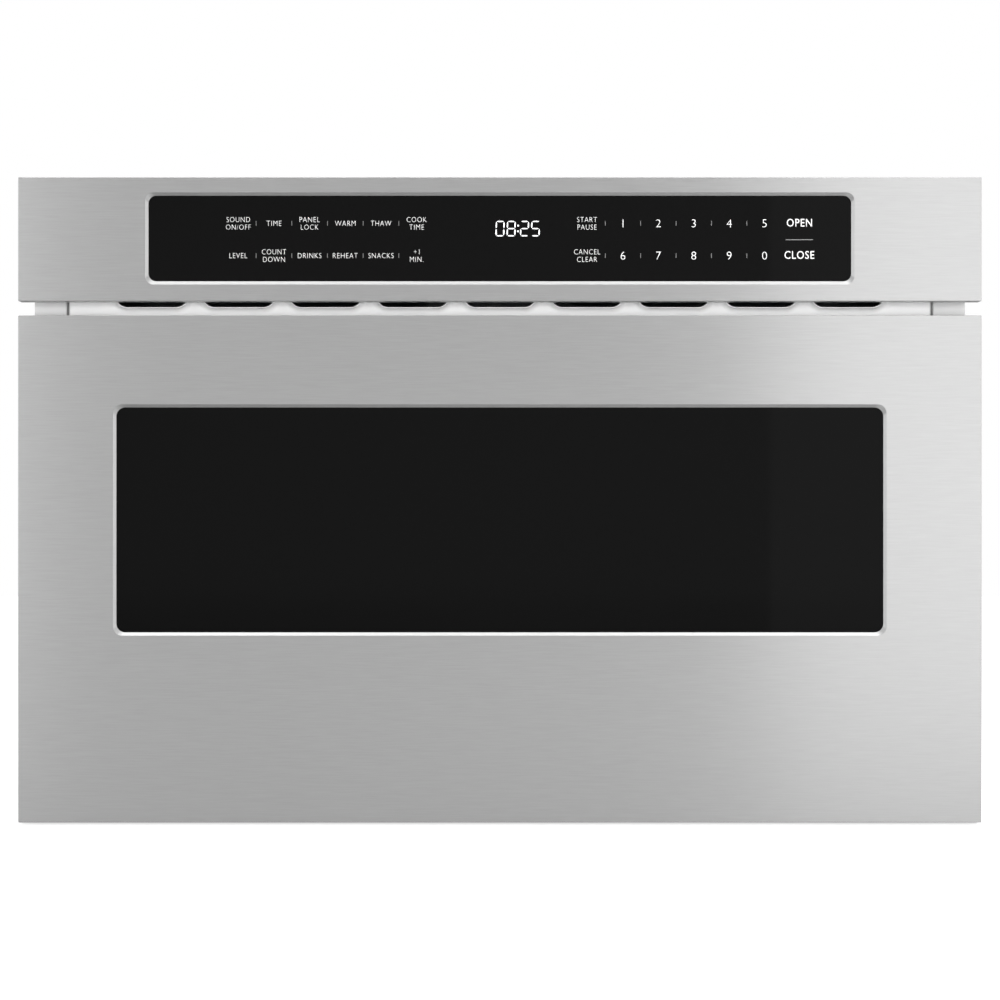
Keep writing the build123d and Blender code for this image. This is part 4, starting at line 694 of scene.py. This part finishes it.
# ------------------------------------------------------------------ display
display_left = -2.4 * MM          # left edge of the first digit
display_low = 370.1 * MM
clock_text = "0825"
segment_t = 1.4 * MM
segment_gap = 0.3 * MM
dot_size = 0.95 * MM
figure_width = 6.2 * MM
figure_height = 10.4 * MM
figure_steps = (0.0, 7.0 * MM, 15.4 * MM, 22.3 * MM)
colon_step = 13.7 * MM
slant = 0.03
SEGMENTS = {"0": "abcdef", "1": "bc", "2": "abged", "3": "abgcd", "4": "fgbc", "5": "afgcd",
            "6": "afgedc", "7": "abc", "8": "abcdefg", "9": "abcdfg"}


def segment(length, upright_bar):
    """One lit bar of a seven-segment figure, pointed at both ends."""
    bpy.ops.object.select_all(action="DESELECT")
    bpy.ops.mesh.primitive_circle_add(vertices=4, radius=segment_t / 2, fill_type="NGON")
    bar = bpy.context.active_object
    for side in (-1, 1):
        pick(bar, "VERT", lambda vert: vert.co.x * side > 0.1 * segment_t)
        bpy.ops.transform.translate(value=(side * (length / 2 - segment_t / 2), 0, 0))
        leave(bar)
    pick(bar, "VERT", lambda vert: abs(vert.co.x) < 0.1 * segment_t)
    bpy.ops.mesh.bevel(offset=length / 2 - segment_t * 0.75, affect="VERTICES")
    leave(bar)
    worked(bar, "SOLIDIFY", thickness=print_t, offset=1)
    turn = pi / 2 if upright_bar else 0
    bar.data.transform(Matrix.Rotation(pi / 2, 4, "X") @ Matrix.Rotation(turn, 4, "Z"))
    return bar


def display_figures():
    """Lit clock: slanted seven-segment figures with a colon."""
    half = (figure_height - segment_t) / 2
    width = figure_width - segment_t
    flat = segment(width - segment_gap, False)
    tall = segment(half - segment_gap, True)
    places = {
        "a": (flat, width / 2, 2 * half), "g": (flat, width / 2, half), "d": (flat, width / 2, 0),
        "f": (tall, 0, 1.5 * half), "b": (tall, width, 1.5 * half),
        "e": (tall, 0, 0.5 * half), "c": (tall, width, 0.5 * half),
    }
    lit = []
    for step, figure in zip(figure_steps, clock_text):
        for name in SEGMENTS[figure]:
            bar, x, z = places[name]
            lit.append(copy_of(bar, (step + x, 0, z)))
    for z in (2.8 * MM, 6.4 * MM):
        lit.append(block("colon", (colon_step - dot_size / 2, -print_t, z - dot_size / 2),
                         (colon_step + dot_size / 2, 0, z + dot_size / 2)))
    for bar in (flat, tall):
        bpy.data.objects.remove(bar, do_unlink=True)
    figures = join("display_figures", lit)
    lean = Matrix.Identity(4)
    lean[0][2] = slant
    glass_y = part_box("control_glass")[0].y
    place = Vector((display_left, glass_y, display_low + segment_t / 2))
    figures.data.transform(Matrix.Translation(place) @ lean)
    return figures


# ------------------------------------------------------------------ studio
def studio():
    """White surroundings, a pale floor, soft lamps and the camera of the photograph."""
    scene = bpy.context.scene
    scene.view_settings.view_transform = "Standard"
    world = bpy.data.worlds.new("studio")
    scene.world = world
    world.use_nodes = True
    tree = world.node_tree
    soft = tree.nodes["Background"]
    soft.inputs["Color"].default_value = (1, 1, 1, 1)
    soft.inputs["Strength"].default_value = 0.32
    white = tree.nodes.new("ShaderNodeBackground")
    white.inputs["Color"].default_value = (1, 1, 1, 1)
    path = tree.nodes.new("ShaderNodeLightPath")
    seen = seen_or_reflected(tree, path)
    mix = tree.nodes.new("ShaderNodeMixShader")
    tree.links.new(seen, mix.inputs["Fac"])
    tree.links.new(soft.outputs["Background"], mix.inputs[1])
    tree.links.new(white.outputs["Background"], mix.inputs[2])
    tree.links.new(mix.outputs["Shader"], tree.nodes["World Output"].inputs["Surface"])

    bpy.ops.object.select_all(action="DESELECT")
    bpy.ops.mesh.primitive_plane_add(size=16)
    floor = bpy.context.active_object
    floor.name = "floor"
    floor.data.materials.append(floor_finish())

    lamp("overhead_lamp", (0, -0.42, 2.3), (0, -0.42, 0.2), 2.4, 0.6, 25)
    lamp("left_lamp", (-0.76, -0.9, 0.5), (-0.76, -0.2, 0.5), 0.8, 2.4, 4.6, "gloss")
    lamp("right_lamp", (0.62, -0.9, 0.5), (0.62, -0.2, 0.5), 0.84, 2.4, 6.3, "gloss")
    lamp("left_side_lamp", (-2.2, -0.7, 0.5), (-0.3, -0.3, 0.2), 1.2, 1.2, 5, "matt")
    lamp("right_side_lamp", (2.2, -0.7, 0.5), (0.3, -0.3, 0.2), 1.2, 1.2, 5, "matt")
    lamp("left_window_lamp", (-2.2, -0.3, 0.4), (-0.3, -0.3, 0.2), 1.2, 1.2, 8.5, "gloss")
    lamp("right_window_lamp", (2.2, -0.3, 0.4), (0.3, -0.3, 0.2), 1.2, 1.2, 8.5, "gloss")
    lamp("right_floor_lamp", (0.62, -1.0, 0.9), (0.62, -1.0, 0), 0.84, 0.9, 14, "matt")
    lamp("front_lamp", (0, -3.0, 0.36), (0, -0.2, 0.34), 2.5, 0.7, 62, "matt")

    camera_distance = 3.5
    frame_width = 0.62896       # what the picture spans at the front of the object
    camera = bpy.data.objects.new("camera", bpy.data.cameras.new("camera"))
    bpy.context.collection.objects.link(camera)
    camera.location = (0.0001, front_y - camera_distance, 0.2045)
    camera.rotation_euler = (pi / 2, 0, 0)
    camera.data.lens = camera.data.sensor_width * camera_distance / frame_width
    camera.data.clip_end = 100
    scene.camera = camera


def seen_or_reflected(tree, path):
    """One for rays that the camera, metal or glass sends, nought for diffuse light."""
    total = path.outputs["Is Camera Ray"]
    for name in ("Is Glossy Ray", "Is Transmission Ray"):
        larger = tree.nodes.new("ShaderNodeMath")
        larger.operation = "MAXIMUM"
        tree.links.new(total, larger.inputs[0])
        tree.links.new(path.outputs[name], larger.inputs[1])
        total = larger.outputs["Value"]
    return total


def floor_finish():
    """Pale matt floor with a lift to white that the camera alone sees."""
    finish, tree, shader = principled("floor", grey(0.72), 0.0, 0.9)
    path = tree.nodes.new("ShaderNodeLightPath")
    lift = tree.nodes.new("ShaderNodeEmission")
    lift.inputs["Strength"].default_value = 0.75
    none = tree.nodes.new("ShaderNodeEmission")
    none.inputs["Strength"].default_value = 0.0
    choose = tree.nodes.new("ShaderNodeMixShader")
    add = tree.nodes.new("ShaderNodeAddShader")
    tree.links.new(path.outputs["Is Camera Ray"], choose.inputs["Fac"])
    tree.links.new(none.outputs["Emission"], choose.inputs[1])
    tree.links.new(lift.outputs["Emission"], choose.inputs[2])
    tree.links.new(shader.outputs["BSDF"], add.inputs[0])
    tree.links.new(choose.outputs["Shader"], add.inputs[1])
    tree.links.new(add.outputs["Shader"], tree.nodes["Material Output"].inputs["Surface"])
    return finish


def lamp(name, place, target, width, height, power, lights="all"):
    """Soft rectangular lamp aimed at a point, which lights all, matt or glossy surfaces."""
    light = bpy.data.lights.new(name, "AREA")
    light.shape = "RECTANGLE"
    light.size = width
    light.size_y = height
    light.energy = power
    holder = bpy.data.objects.new(name, light)
    bpy.context.collection.objects.link(holder)
    holder.location = place
    holder.rotation_euler = (Vector(target) - Vector(place)).to_track_quat("-Z", "Y").to_euler()
    holder.visible_camera = False
    holder.visible_glossy = lights != "matt"
    holder.visible_diffuse = lights != "gloss"


# ------------------------------------------------------------------ the whole drawer
dress_cad_nodes()
drawer_skin = front_skin("drawer_skin", "drawer_front", "drawer_glass", drawer_glass_hidden,
                         drawer_window_r)
dress(drawer_skin, finishes["brushed_steel"], "drawer", "brushed_steel", "drawer_front")
control_skin = front_skin("control_skin", "control_fascia", "control_glass",
                          control_glass_hidden, control_window_r)
dress(control_skin, finishes["brushed_steel"], "chassis", "brushed_steel", "control_fascia")
# the vent strip takes the lighter copy of the frame paint, painted light against the shade of the
# gap
dress(vent_strip(), strip_paint_painted_light, "chassis", "painted_frame", "vent_strip")
dress(case_screws(), finishes["zinc_steel"], "chassis", "zinc_steel", "case_screws")
for node, width in softened_nodes.items():
    refined(node, width)
legends, ticks = control_legends()
dress(legends, print_white, "chassis", "display")
dress(ticks, print_grey, "chassis", "display")
dress(display_figures(), display_white, "chassis", "display")
studio()
